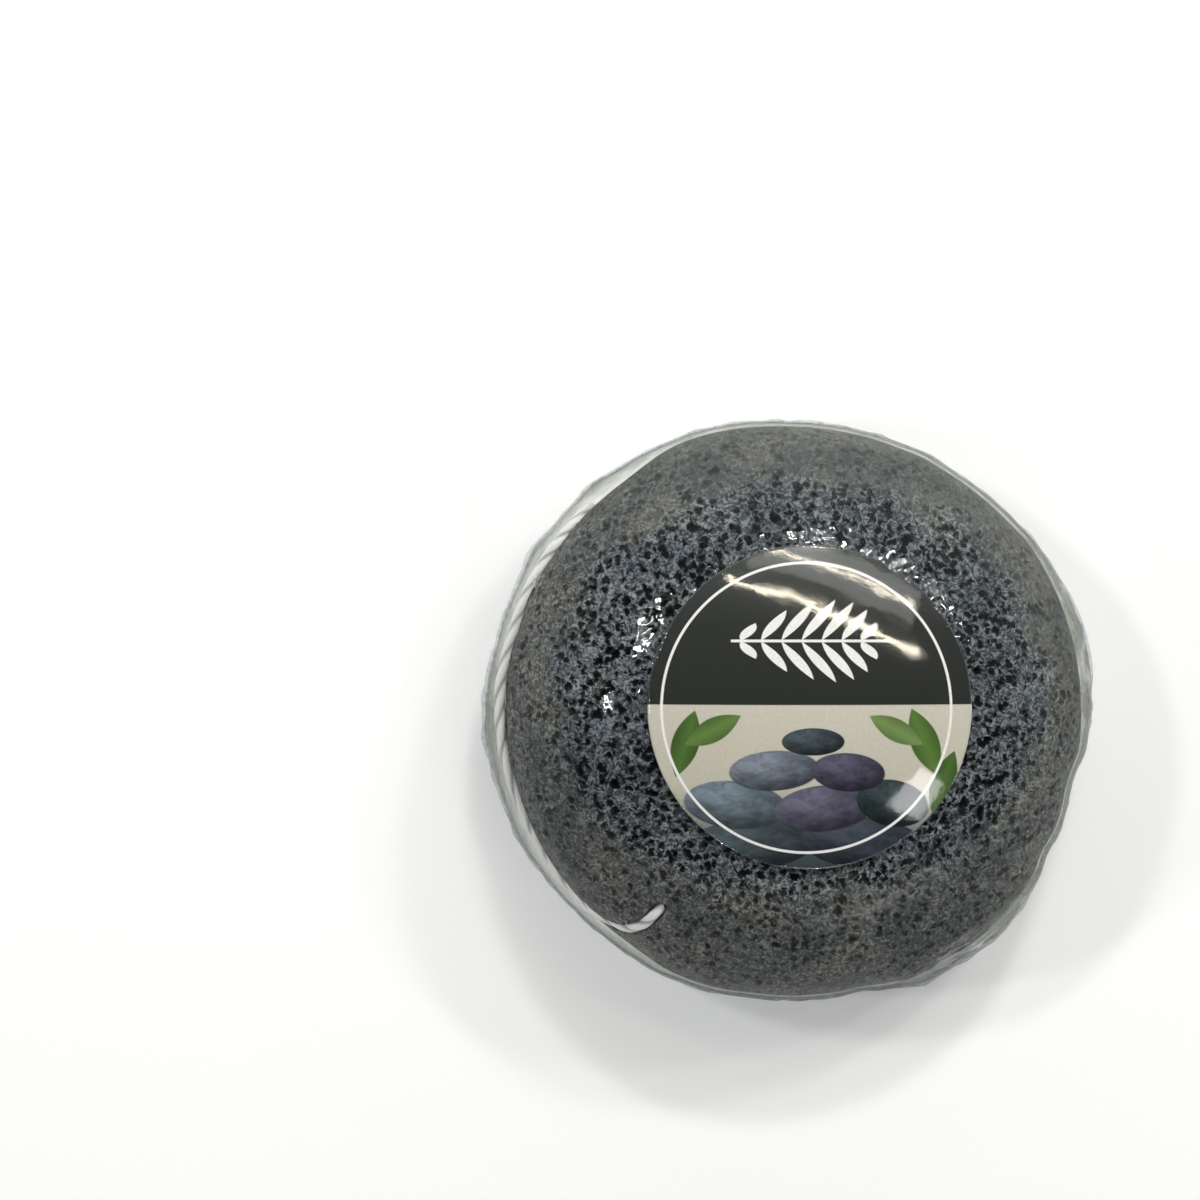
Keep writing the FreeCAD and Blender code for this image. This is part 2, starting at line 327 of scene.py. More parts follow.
coil = np.linspace(-0.5, 0.5, knot_turns * 12 + 1)[:, None]
coil_turn = coil * knot_turns * TURN + np.pi / 2
coil_points = (knot_centre + knot_axis * coil * knot_turns * knot_turn_pitch
               + knot_turn_radius * (np.cos(coil_turn) * knot_side + np.sin(coil_turn) * [0, 0, 1]))
knot_route = np.concatenate([np.array(long_tail_route)[:0:-1], coil_points, np.array(short_tail_route)[1:]])
knot_line, knot_reach = smooth_line(knot_route, 0.12)
core_line, core_reach = smooth_line([knot_start, knot_centre + [0.1, 0, 0], knot_end], 0.12)


def cut_fibres(line, count, spread, channel):
    """Loose fibres at a cut end: thin cones that leave the end along the line and bend away
    from it with the square of their length."""
    rows, sides = 9, 5
    tangent = (line[-1] - line[-6]) / np.linalg.norm(line[-1] - line[-6])
    aside = np.cross(tangent, (0.3, 0.2, 1.0))
    aside /= np.linalg.norm(aside)
    other = np.cross(tangent, aside)
    seed = np.stack([np.arange(count), np.zeros(count), np.zeros(count)], 1)
    angle = hashed(seed, channel)[:, None] * TURN
    length = 0.5 + 1.0 * hashed(seed, channel + 1)[:, None]
    root = 0.55 * np.sqrt(hashed(seed, channel + 2))[:, None]
    t = np.linspace(0, 1, rows)[None, :]
    out = root + spread * t ** 2 * hashed(seed, channel + 3)[:, None]
    centre = (line[-1] + (length * t - 0.25)[..., None] * tangent
              + (out * np.cos(angle))[..., None] * aside + (out * np.sin(angle))[..., None] * other)
    around = np.arange(sides) / sides * TURN
    radius = (0.075 * (1 - 0.8 * t)) * np.ones((count, 1))
    rings = centre[:, :, None] + radius[..., None, None] * (
        np.cos(around)[:, None] * aside + np.sin(around)[:, None] * other)
    points = np.concatenate([rings.reshape(-1, 3), centre[:, [0, -1]].reshape(-1, 3)])
    one = quads_of(rows, sides, True)
    quads = (one[None] + np.arange(count)[:, None, None] * rows * sides).reshape(-1, 4)
    poles = count * rows * sides + np.arange(count * 2).reshape(count, 2)
    roots = np.arange(count)[:, None] * rows * sides + np.arange(sides)[None, ::-1]
    tips = np.arange(count)[:, None] * rows * sides + (rows - 1) * sides + np.arange(sides)[None]
    caps = [np.stack([ring, np.roll(ring, -1, axis=1), np.broadcast_to(poles[:, [end]], ring.shape)], -1)
            for end, ring in enumerate((roots, tips))]
    uvs = np.zeros((len(points), 2)) + hashed(np.floor(points * 3), channel)[:, None]
    return [points, quads, np.concatenate(caps).reshape(-1, 3), uvs]


knot = make_mesh("cotton_knot", *joined(
    twisted_strand(knot_line, knot_reach, string_width, 12),
    twisted_strand(core_line, core_reach, string_width, 12),
    cut_fibres(knot_line[::-1], 26, 0.45, 50),
    cut_fibres(knot_line, 20, 0.4, 60),
))

# %% [markdown]
# ## The shape under the film
# The sponge's half section is three curves: a flat arc at the crown, a flank down to the widest
# plane, and a rounded rim in to the flat back. The film follows the same curves at a small
# distance, so one function gives both.

# %% Half section
def bezier(points, steps=400):
    """A cubic Bezier curve: the four points weighted by the Bernstein polynomials of t."""
    t = np.linspace(0, 1, steps)[:, None]
    a, b, c, d = (np.array(point, float) for point in points)
    return (1 - t) ** 3 * a + 3 * (1 - t) ** 2 * t * b + 3 * (1 - t) * t ** 2 * c + t ** 3 * d


crown_zone_radius = sponge_radius - shoulder_reach
back_flat_radius = sponge_radius - rim_reach
crown_centre_z = top_z - crown_curve_radius
crown_slope = np.arcsin(crown_zone_radius / crown_curve_radius)
crown_edge_z = crown_centre_z + crown_curve_radius * np.cos(crown_slope)
lead = shoulder_top * shoulder_reach

crown_angles = np.linspace(0, crown_slope, 200)
crown_line = np.stack([crown_curve_radius * np.sin(crown_angles),
                       crown_centre_z + crown_curve_radius * np.cos(crown_angles)], 1)
shoulder_line = bezier([
    (crown_zone_radius, crown_edge_z),
    (crown_zone_radius + lead, crown_edge_z - lead * np.tan(crown_slope)),
    (sponge_radius, widest_z + shoulder_side * (crown_edge_z - widest_z)),
    (sponge_radius, widest_z),
])
rim_line = bezier([
    (sponge_radius, widest_z),
    (sponge_radius, widest_z - rim_fullness * (widest_z - back_z)),
    (back_flat_radius + rim_fullness * rim_reach, back_z),
    (back_flat_radius, back_z),
])


def along(line):
    """How far along a flat line each of its points lies: the running sum of its steps."""
    return np.concatenate([[0], np.cumsum(np.hypot(*np.diff(line, axis=0).T))])


def section_at(line, reach):
    """Radius, height and the outward normal's two parts, at a distance along a half section.
    The normal is the tangent turned a quarter turn."""
    line_reach = along(line)
    radius, z = (np.interp(reach, line_reach, line[:, k]) for k in (0, 1))
    tangent_r, tangent_z = (np.interp(reach, line_reach, np.gradient(line[:, k], line_reach)) for k in (0, 1))
    size = np.hypot(tangent_r, tangent_z)
    return radius, z, -tangent_z / size, tangent_r / size


sponge_section = np.concatenate([crown_line, shoulder_line[1:], rim_line[1:]])
print("from the crown to the back's edge", round(along(sponge_section)[-1], 1), "mm")

# %% [markdown]
# Seen from above, the wrap isn't round. Where the film had too much to take in, it stands off in
# ears, and small folds lie between them. The foam swells part of the way into that space,
# but not on the side where the string holds it back.

# %% Stand-off round the rim
ear_standoff = 2.35
ear_shares = np.array([
    0.86, 1.00, 0.66, 0.38, 0.20, 0.13, 0.14, 0.36, 0.47, 0.57, 0.66, 0.66,
    0.91, 0.74, 0.52, 0.33, 0.28, 0.28, 0.16, 0.28, 0.86, 1.00, 0.62, 0.25,
])
# Small folds between the ears: angle and half width in degrees, and how far each stands off.
small_folds = ((296, 3.5, 0.5), (313, 4, 0.3), (331, 3, -0.4), (339, 5, 0.35), (352, 3, 0.3),
               (4, 2.5, -0.25), (35, 4, 0.2), (62, 3, 0.2), (131, 3.5, 0.3), (148, 3, 0.3),
               (185, 2.5, 0.25), (207, 4, 0.2), (243, 3, 0.2), (262, 5, -0.2), (284, 3, -0.25))


def standoff_at(angle):
    """How far the film stands off at an angle: a Catmull-Rom curve through the shares, which
    lie 15 degrees apart, and a bell curve for each small fold."""
    place = (angle / TURN * len(ear_shares)) % len(ear_shares)
    k = np.floor(place).astype(int)
    t = place - k
    a, b, c, d = (ear_shares[(k + step) % len(ear_shares)] for step in (-1, 0, 1, 2))
    share = b + 0.5 * t * (c - a + t * (2 * a - 5 * b + 4 * c - d + t * (3 * (b - c) + d - a)))
    total = ear_standoff * share
    for degrees, half_width, height in small_folds:
        gap = (np.degrees(angle) - degrees + 180) % 360 - 180
        total = total + height * np.exp(-(gap / half_width) ** 2)
    return np.maximum(total, 0.15)


print("stand-off from", round(standoff_at(np.linspace(0, TURN, 360)).min(), 2),
      "to", round(standoff_at(np.linspace(0, TURN, 360)).max(), 2), "mm")


# %% [markdown]
# ## The sponge
# Konjac fibre is foamed before it sets, so its skin is full of cut bubbles of many sizes. A bump
# map alone would look printed on. Here the bubbles are real: balls of random size sit in a
# lattice, and wherever the surface runs through one, the mesh sinks to the ball's far wall.
# Round the sticker they lie densest, and down the flank half as dense. The dome is a square grid
# wrapped on to a disc, because a round grid crowds its points at the pole.

# %% Foam bubbles
def kept_share(places):
    """The share of the balls that are kept: all of them near the axis, half of them far out."""
    return 1 - 0.5 * smooth_step(25, 31, np.hypot(places[:, 0], places[:, 1]))


def bubble_depth(points, normals, cell, fullness, channel):
    """How deep cut bubbles sink the surface. Each lattice cell may hold one ball at a hashed
    place. A point inside a ball sinks along its normal to the ball's far side: the way to the
    point level with the centre, plus half the chord there."""
    base = np.floor(points / cell)
    depth = np.zeros(len(points))
    for offset in np.ndindex(3, 3, 3):
        lattice = base + np.array(offset) - 1
        jitter = np.stack([hashed(lattice, channel + axis) for axis in range(3)], -1)
        radius = cell * (0.22 + 0.24 * hashed(lattice, channel + 3) ** 1.4)
        centre = (lattice + jitter) * cell
        present = hashed(lattice, channel + 4) < fullness * kept_share(centre)
        to_centre = centre - points
        inward = -(to_centre * normals).sum(1)
        centre_distance = (to_centre ** 2).sum(1)
        chord = np.sqrt(np.maximum(radius ** 2 - (centre_distance - inward ** 2), 0))
        inside = present & (centre_distance < radius ** 2)
        depth = np.where(inside, np.maximum(depth, inward + chord), depth)
    return depth


print("balls kept far out:", kept_share(np.array([[40, 0, 0]])))

# %% [markdown]
# A square's rings become circles, and each of its sides a quarter turn, so the grid's cells keep
# about one size from the crown to the edge of the back. The edge is then drawn in to the middle
# of the flat back in rings.

# %% Dome grid
dome_cells = 520
side = np.linspace(-1, 1, dome_cells)
across, up = np.meshgrid(side, side, indexing="ij")
wide = np.abs(across) >= np.abs(up)
major = np.where(wide, across, up)
minor = np.where(wide, up, across)
ratio = minor / np.where(major == 0, 1, major)
turn = np.where(wide, np.pi / 4 * ratio, np.pi / 2 - np.pi / 4 * ratio) + np.where(major < 0, np.pi, 0)
full_reach, crown_reach = along(sponge_section)[-1], along(crown_line)[-1]
side_reach = crown_reach + along(shoulder_line)[-1]
dome_reach = np.abs(major) * full_reach
radius, z, normal_r, normal_z = section_at(sponge_section, dome_reach)
# The foam's swell into the ears: full at the widest plane, none at the crown and the back.
upper = smooth_step(0.22, 1.0, (dome_reach - crown_reach) / (side_reach - crown_reach))
lower = np.clip(1 - (dome_reach - side_reach) / (0.85 * (full_reach - side_reach)), 0, 1)
free_side = 1 - smooth_step(0.35, 0.60, -np.cos(turn))
# It reaches furthest into the ear at 312 degrees.
swell_share, swell_limit, deep_ear = 0.88, 1.5, 312
from_deep_ear = (np.degrees(turn) - deep_ear + 180) % 360 - 180
limit_there = swell_limit + 0.6 * np.exp(-(from_deep_ear / 20) ** 2)
radius = radius + swell_share * np.minimum(standoff_at(turn), limit_there) * upper * lower * free_side
dome_points = np.stack([radius * np.cos(turn), radius * np.sin(turn), z], -1).reshape(-1, 3)
dome_normals = np.stack([normal_r * np.cos(turn), normal_r * np.sin(turn), normal_z], -1).reshape(-1, 3)
print("dome points", len(dome_points))

# %% Flat back
last = dome_cells - 1
steps = np.arange(last)
edge = np.concatenate([steps * dome_cells, last * dome_cells + steps,
                       (last - steps) * dome_cells + last, last - steps])
back_rings = 48
shrink = 1 - np.arange(1, back_rings)[:, None] / back_rings
rings = np.stack([dome_points[edge, 0] * shrink, dome_points[edge, 1] * shrink,
                  np.full((back_rings - 1, len(edge)), back_z)], -1).reshape(-1, 3)
base_points = np.concatenate([dome_points, rings, [[0, 0, back_z]]])
base_normals = np.concatenate([dome_normals, np.tile([0.0, 0.0, -1.0], (len(rings) + 1, 1))])
rows = np.concatenate([edge, dome_cells ** 2 + np.arange(len(rings))]).reshape(back_rings, len(edge))
nexts = np.roll(rows, -1, axis=1)
back_quads = np.stack([rows[:-1], rows[1:], nexts[1:], nexts[:-1]], -1).reshape(-1, 4)
sponge_quads = np.concatenate([quads_of(dome_cells, dome_cells, False)[:, ::-1], back_quads])
sponge_caps = fan_of(rows[-1][::-1], len(base_points) - 1)
print("sponge points", len(base_points))

# %% [markdown]
# The film presses the string into the foam, so the foam gives way to it. Each point near the
# string is compared with the nearest point of its centre line, and sinks until it clears the
# string's round.

# %% Press the string in
def nearest_on(points, line):
    """For each point, the nearest point of a line."""
    nearest = np.zeros_like(points)
    distance = np.full(len(points), np.inf)
    for target in line:
        d = ((points - target) ** 2).sum(1)
        closer = d < distance
        distance[closer] = d[closer]
        nearest[closer] = target
    return nearest


def press_depth(points, normals, line, radius):
    """How far a point sinks along its normal to clear a round tube about a line: half the
    tube's chord at that distance aside, less the height of the tube's centre over the point."""
    to_line = nearest_on(points, line) - points
    height = (to_line * normals).sum(1)
    aside = np.sqrt(np.maximum((to_line ** 2).sum(1) - height ** 2, 0))
    chord = np.sqrt(np.maximum(radius ** 2 - aside ** 2, 0))
    return np.where((aside < radius) & (height > -2.0), chord - height, 0)


pressing_line = np.concatenate([string_line[::3], knot_line[::3]])
near = np.flatnonzero((base_points[:, 0] < -12) & (np.hypot(base_points[:, 0], base_points[:, 1]) > 20))
pressed = np.zeros(len(base_points))
pressed[near] = press_depth(base_points[near], base_normals[near], pressing_line, string_width / 2 + 0.10)
print("deepest press", round(pressed.max(), 2), "mm")

# %% [markdown]
# The mesh takes two sizes of bubbles, the press of the string, and a fine roughness. Foam rises
# as it sets, so its bubbles are over twice as tall as wide: heights are squeezed before the
# lattice is read. Noise shakes the places a little, so no ball is quite round.

# %% Sponge mesh
foam_squeeze = 0.42
drift = np.stack([noise(base_points / 0.8, 20 + axis) for axis in range(3)], -1)
warped = (base_points + 0.25 * drift) * [1, 1, foam_squeeze]
wide_pores = bubble_depth(warped, base_normals, 1.30, 0.50, 1)
small_pores = bubble_depth(warped, base_normals, 0.80, 0.60, 11)
pores = np.minimum(np.maximum(wide_pores, small_pores), 0.8)
rough = 0.5 + 0.5 * noise(base_points / 0.5, 31)
swell = 0.5 - 0.5 * noise(base_points / 8.0, 41)
# The foam's own skin stands a little proud of the engineering solid, towards the film.
proud = 0.33
sink = pores + 0.14 * rough + 0.20 * swell - proud
sink = np.maximum(sink, pressed + np.where(pressed > 0, 0.12 * rough + 0.25 * pores, 0))
sponge_points = base_points - base_normals * sink[:, None]
sponge_points[:, 2] = np.maximum(sponge_points[:, 2], back_z)
sponge = make_mesh("charcoal_sponge", sponge_points, sponge_quads, sponge_caps)
set_attribute(sponge, "pore_depth", pores)
print("mean pore depth", round(pores.mean(), 2), "mm")

# %% [markdown]
# Round the sticker the film clings to the foam, which looks dark and crisp there. Further out a
# breath of air lies between the two, and the film's reflection of the room is painted into the
# foam's colour as a pale veil. The border is ragged, so its radius is a sum of a few waves round
# the sticker, shaken by noise.

# %% Where the film clings
label_shift = np.array([1.14, 1.39])
from_label = base_points[:, :2] - label_shift
label_turn = np.arctan2(from_label[:, 1], from_label[:, 0])
cling_radius = 28.5 + 2.5 * np.cos(2 * label_turn) - 0.5 * np.cos(label_turn) + 2.2 * np.sin(label_turn)
ragged = 3.0 * noise(base_points / 5.0, 51) + 1.3 * noise(base_points / 1.3, 52)
cling = 1 - smooth_step(-2.2, 2.2, np.hypot(*from_label.T) + ragged - cling_radius)
set_attribute(sponge, "film_cling", cling)
# The painted reflection is thickest behind the dome's far shoulder, a little to the right, on the
# side of the lamps and the pale part of the room, and thins towards the near one.
lit_far_side = smooth_step(0.1, 0.95, np.sin(label_turn + 0.35) + 0.12 * noise(base_points / 6.0, 53))
free_film_reflection = 0.06 + 0.36 * lit_far_side * smooth_step(20, 30, np.hypot(*from_label.T))
painted_reflection = (1 - cling) * free_film_reflection + 0.10 * cling * lit_far_side
set_attribute(sponge, "painted_film_reflection", painted_reflection)
print("the film clings to", round(100 * cling.mean()), "% of the points")

# %% [markdown]
# ## Materials
# One function adds a node, sets it and links it. Colours are written as sRGB hex, the way they
# would be picked from a swatch, and turned to the linear values that the renderer works in.

# %% Node helpers
def linear(hex_colour):
    """sRGB hex to linear red, green and blue with a full alpha, by the sRGB curve."""
    s = np.array([int(hex_colour[i:i + 2], 16) for i in (1, 3, 5)]) / 255
    return (*np.where(s <= 0.04045, s / 12.92, ((s + 0.055) / 1.055) ** 2.4), 1.0)


def new_material(name):
    """An empty node material and its output node."""
    material = bpy.data.materials.new(name)
    material.use_nodes = True
    material.node_tree.nodes.clear()
    return material, material.node_tree.nodes.new("ShaderNodeOutputMaterial")


def add_node(owner, kind, links=None, stops=None, **settings):
    """Adds one node to a material or world. A setting is a property of the node, or the value
    of the input of that name or place: Base_Color, or in1 for the second. Links go from an
    input's name or place to another node's output, and stops are a Color Ramp's."""
    node = owner.node_tree.nodes.new("ShaderNode" + kind)
    for name, value in settings.items():
        if name[:2] == "in" and name[2:].isdigit():
            node.inputs[int(name[2:])].default_value = value
        elif hasattr(node, name):
            setattr(node, name, value)
        else:
            node.inputs[name.replace("_", " ")].default_value = value
    for place, colour in stops or ():
        if place == stops[0][0]:
            element = node.color_ramp.elements[0]
        elif place == stops[-1][0]:
            element = node.color_ramp.elements[-1]
        else:
            element = node.color_ramp.elements.new(place)
        element.position, element.color = place, linear(colour)
    for name, source in (links or {}).items():
        owner.node_tree.links.new(source, node.inputs[name])
    return node


print("mid grey in linear:", np.round(linear("#808080"), 3))

# %% [markdown]
# ### Charcoal konjac fibre
# Dried konjac with bamboo charcoal is a dark grey felt of fine fibres, matt in the pores and
# with a faint shine on the ridges that touch the film. A noise at the size of a tuft, 0.75 mm,
# curls into pale and dark strokes, and a finer one of 0.25 mm, one fibre, grains them. Light that
# enters the felt is lost between its fibres, so the specular level is low.

# %% Felt of fibres
fibre, fibre_out = new_material("charcoal_konjac_fibre")
place = add_node(fibre, "TexCoord")
# Cells and fibres stand taller than wide, as in the mesh.
tall = add_node(fibre, "Mapping", {"Vector": place.outputs["Object"]}, Scale=(1, 1, foam_squeeze))
worms = add_node(fibre, "TexNoise", {"Vector": tall.outputs[0]}, Scale=1 / (0.75 * MM), Detail=3.0,
                 Roughness=0.58, Distortion=1.6)
grain = add_node(fibre, "TexNoise", {"Vector": tall.outputs[0]}, Scale=1 / (0.25 * MM), Detail=2.0,
                 Roughness=0.6)
felt_tone = add_node(fibre, "ValToRGB", {"Fac": worms.outputs["Fac"]},
                     [(0.30, "#262828"), (0.44, "#545757"), (0.56, "#7a7d7d"), (0.67, "#b4b8b8")])
grain_tone = add_node(fibre, "ValToRGB", {"Fac": grain.outputs["Fac"]},
                      [(0.30, "#8c8c8c"), (0.70, "#ffffff")])
# Where the film doesn't cling, the tufts are mixed towards a plain grey: a painted veil of the film's
# reflection.
cling_value = add_node(fibre, "Attribute", attribute_name="film_cling")
reflection_paint_share = add_node(fibre, "MapRange", {"Value": cling_value.outputs["Fac"]}, To_Min=0.35, To_Max=0.0)
reflection_softened_felt = add_node(fibre, "Mix", {0: reflection_paint_share.outputs[0], 6: felt_tone.outputs[0]}, data_type="RGBA",
                     in7=linear("#636665"))
grained = add_node(fibre, "Mix", {6: reflection_softened_felt.outputs[2], 7: grain_tone.outputs[0]},
                   data_type="RGBA", blend_type="MULTIPLY", in0=0.55)
print("tufts", 0.75, "mm, grain", 0.25, "mm")

# %% [markdown]
# Most pores are too small for the mesh. A Voronoi texture scatters one point in each cell of
# 1.2 mm, and the distance to the nearest is a ball round it. Cut by the skin, the balls show as
# dark discs of all sizes, painted shade for holes that the mesh doesn't have. The distance to the
# border between two cells draws the foam's walls as a net of pale strands, a painted highlight on
# the ridges, broken by noise. Noise also shakes the cells out of round.

# %% Fine pores
shake = add_node(fibre, "TexNoise", {"Vector": tall.outputs[0]}, Scale=1 / (0.9 * MM), Detail=2.0)
shaken = add_node(fibre, "VectorMath", {0: shake.outputs["Color"], 2: tall.outputs[0]},
                  operation="MULTIPLY_ADD", in1=(1.6 * MM, 1.6 * MM, 1.6 * MM))
cells = add_node(fibre, "TexVoronoi", {"Vector": shaken.outputs[0]}, Scale=1 / (1.2 * MM))
walls = add_node(fibre, "TexVoronoi", {"Vector": shaken.outputs[0]}, Scale=1 / (1.2 * MM),
                 feature="DISTANCE_TO_EDGE")
# The walls' pale strands are a painted highlight on the ridges between the pores.
wall_highlight_line = add_node(fibre, "MapRange", {"Value": walls.outputs["Distance"]}, From_Min=0.02, From_Max=0.12,
                     To_Min=1.0, To_Max=0.0)
wall_break = add_node(fibre, "MapRange", {"Value": worms.outputs["Fac"]}, From_Min=0.42, From_Max=0.58,
                      To_Min=0.05, To_Max=0.75)
broken_wall_highlight = add_node(fibre, "Math", {0: wall_highlight_line.outputs[0], 1: wall_break.outputs[0]}, operation="MULTIPLY")
# Where the film doesn't cling, the walls' painted highlight shows only half as much, under the painted veil.
wall_highlight_strength = add_node(fibre, "MapRange", {"Value": cling_value.outputs["Fac"]}, To_Min=0.5, To_Max=1.0)
wall_highlight_share = add_node(fibre, "Math", {0: broken_wall_highlight.outputs[0], 1: wall_highlight_strength.outputs[0]},
                      operation="MULTIPLY")
wall_highlighted = add_node(fibre, "Mix", {0: wall_highlight_share.outputs[0], 6: grained.outputs[2]}, data_type="RGBA",
                  in7=linear("#b6baba"))
# Painted shade: each fine pore is a dark disc, darkest in its middle.
fine_pore_shade = add_node(fibre, "ValToRGB", {"Fac": cells.outputs["Distance"]}, [
    (0.0, "#08090b"), (0.27, "#101114"), (0.35, "#7c7e80"), (0.42, "#ffffff"), (0.9, "#f0f0f0")])
# Each cell has a random number. A cell whose number is over the share to keep has no pore.
cell_luck = add_node(fibre, "SeparateColor", {0: cells.outputs["Color"]})
cell_share = add_node(fibre, "MapRange", {"Value": cling_value.outputs["Fac"]}, To_Min=0.45, To_Max=0.92)
no_pore = add_node(fibre, "Math", {0: cell_luck.outputs[0], 1: cell_share.outputs[0]}, operation="GREATER_THAN")
kept_pore_shade = add_node(fibre, "Mix", {0: no_pore.outputs[0], 6: fine_pore_shade.outputs[0]}, data_type="RGBA",
                     in7=linear("#ffffff"))
depth = add_node(fibre, "Attribute", attribute_name="pore_depth")
pore_shade_share = add_node(fibre, "MapRange", {"Value": depth.outputs["Fac"]}, From_Max=0.45)
# Painted shade in the mesh's pores, darker the deeper they are, over the shade that they really cast.
pore_shade = add_node(fibre, "ValToRGB", {"Fac": pore_shade_share.outputs[0]},
                     [(0.0, "#ffffff"), (0.3, "#78787a"), (1.0, "#0e0f12")])
both_pore_shades = add_node(fibre, "Mix", {6: kept_pore_shade.outputs[2], 7: pore_shade.outputs[0]},
                      data_type="RGBA", blend_type="MULTIPLY", in0=1.0)
# Under the painted veil, the pores' painted shade is lighter.
pore_shade_strength = add_node(fibre, "MapRange", {"Value": cling_value.outputs["Fac"]}, To_Min=0.82, To_Max=1.0)
pore_shaded = add_node(fibre, "Mix", {0: pore_shade_strength.outputs[0], 6: wall_highlighted.outputs[2], 7: both_pore_shades.outputs[2]},
                 data_type="RGBA", blend_type="MULTIPLY")
print("nodes so far:", len(fibre.node_tree.nodes))

# %% [markdown]
# The painted veil of the film's reflection, and a slow drift of tone over 9 mm, go over the pores.
# Then the same tufts, cells and grain that gave the colour give the relief, as three bumps that
# each start from the last one's normal.

# %% Painted reflection and drift
painted_reflection_value = add_node(fibre, "Attribute", attribute_name="painted_film_reflection")
# The pale grey veil is the film's reflection of the room, painted into the foam's colour.
reflection_painted = add_node(fibre, "Mix", {0: painted_reflection_value.outputs["Fac"], 6: pore_shaded.outputs[2]}, data_type="RGBA",
                 in7=linear("#82847f"))
drifts = add_node(fibre, "TexNoise", {"Vector": place.outputs["Object"]}, Scale=1 / (9 * MM), Detail=3.0)
drift_tone = add_node(fibre, "ValToRGB", {"Fac": drifts.outputs["Fac"]},
                      [(0.36, "#c8ccd2"), (0.5, "#e6e8ea"), (0.64, "#fffefa")])
drifted = add_node(fibre, "Mix", {6: reflection_painted.outputs[2], 7: drift_tone.outputs[0]},
                   data_type="RGBA", blend_type="MULTIPLY", in0=1.0)
# A painted tint of the film's reflection: warm grey where the film stands off, cool where it clings.
reflection_tint = add_node(fibre, "ValToRGB", {"Fac": cling_value.outputs["Fac"]},
                     [(0.0, "#ededea"), (1.0, "#dee4ec")])
fibre_colour = add_node(fibre, "Mix", {6: drifted.outputs[2], 7: reflection_tint.outputs[0]},
                        data_type="RGBA", blend_type="MULTIPLY", in0=1.0)
print("haze from", round(painted_reflection.min(), 2), "to", round(painted_reflection.max(), 2))

# %% Relief
fibre_bump = add_node(fibre, "Bump", {"Height": worms.outputs["Fac"]}, Strength=0.9, Distance=0.22 * MM)
cell_height = add_node(fibre, "MapRange", {"Value": cells.outputs["Distance"]}, From_Min=0.20, From_Max=0.42)
kept_height = add_node(fibre, "Math", {0: cell_height.outputs[0], 1: no_pore.outputs[0]}, operation="MAXIMUM")
cell_bump = add_node(fibre, "Bump", {"Height": kept_height.outputs[0], "Normal": fibre_bump.outputs[0]},
                     Strength=0.8, Distance=0.20 * MM)
grain_bump = add_node(fibre, "Bump", {"Height": grain.outputs["Fac"], "Normal": cell_bump.outputs[0]},
                      Strength=0.7, Distance=0.09 * MM)
fibre_rough = add_node(fibre, "MapRange", {"Value": worms.outputs["Fac"]}, To_Min=0.9, To_Max=0.5)
fibre_skin = add_node(fibre, "BsdfPrincipled", {
    "Base Color": fibre_colour.outputs[2], "Roughness": fibre_rough.outputs[0],
    "Normal": grain_bump.outputs[0]}, IOR=1.5, Specular_IOR_Level=0.12)
fibre.node_tree.links.new(fibre_skin.outputs[0], fibre_out.inputs[0])
sponge.data.materials.append(fibre)
print(fibre.name, "nodes:", len(fibre.node_tree.nodes))

# %% [markdown]
# ### White cotton
# Bleached cotton yarn is matt, with a soft sheen from its fine hairs and fibres that lie along
# the ply. The pattern follows the strand's own UV map, so it turns with the twist. A ply's inner
# side is at the map's middle, and little light reaches the groove to both sides of it.

# %% White cotton
cotton, cotton_out = new_material("white_twisted_cotton")
strand_uv = add_node(cotton, "UVMap", uv_map="along_strand")
# Across, the map runs once round a ply, 3.9 mm. Along, one unit is 10 mm.
lie = add_node(cotton, "Mapping", {"Vector": strand_uv.outputs[0]}, Scale=(14, 9, 1))
fibres = add_node(cotton, "TexNoise", {"Vector": lie.outputs[0]}, Scale=1.0, Detail=4.0, Roughness=0.65)
cotton_tone = add_node(cotton, "ValToRGB", {"Fac": fibres.outputs["Fac"]},
                       [(0.25, "#dddcd9"), (0.5, "#f3f3f1"), (0.75, "#fdfdfb")])
round_ply = add_node(cotton, "SeparateXYZ", {0: strand_uv.outputs[0]})
from_inside = add_node(cotton, "Math", {0: round_ply.outputs[0]}, operation="SUBTRACT", in1=0.5)
off_inside = add_node(cotton, "Math", {0: from_inside.outputs[0]}, operation="ABSOLUTE")
groove_tone = add_node(cotton, "ValToRGB", {"Fac": off_inside.outputs[0]}, [
    (0.19, "#8d9294"), (0.25, "#d0d2d2"), (0.34, "#ffffff")])
grooved = add_node(cotton, "Mix", {6: cotton_tone.outputs[0], 7: groove_tone.outputs[0]},
                   data_type="RGBA", blend_type="MULTIPLY", in0=1.0)
cotton_bump = add_node(cotton, "Bump", {"Height": fibres.outputs["Fac"]}, Strength=0.6, Distance=0.05 * MM)
cotton_skin = add_node(cotton, "BsdfPrincipled", {
    "Base Color": grooved.outputs[2], "Normal": cotton_bump.outputs[0]},
    Roughness=0.9, Sheen_Weight=0.35, Sheen_Roughness=0.5, IOR=1.5)
cotton.node_tree.links.new(cotton_skin.outputs[0], cotton_out.inputs[0])
for piece in (string, knot):
    piece.data.materials.append(cotton)
print(cotton.name, "on", string.name, "and", knot.name)

# %% [markdown]
# ## Shrink film
# The wrap is two webs of clear film. Hot air shrinks them tight over the sponge, and the weld
# that joins them runs round the widest plane. Where the film had too much to take in, it stands
# off in ears, and fine creases run from the weld up the flank. A cloth simulation could crease
# it too, but here the creases must sit where the photograph has them, so they are drawn: the
# ears as a stand-off at each angle, the creases as ridged noise that fades up the flank.

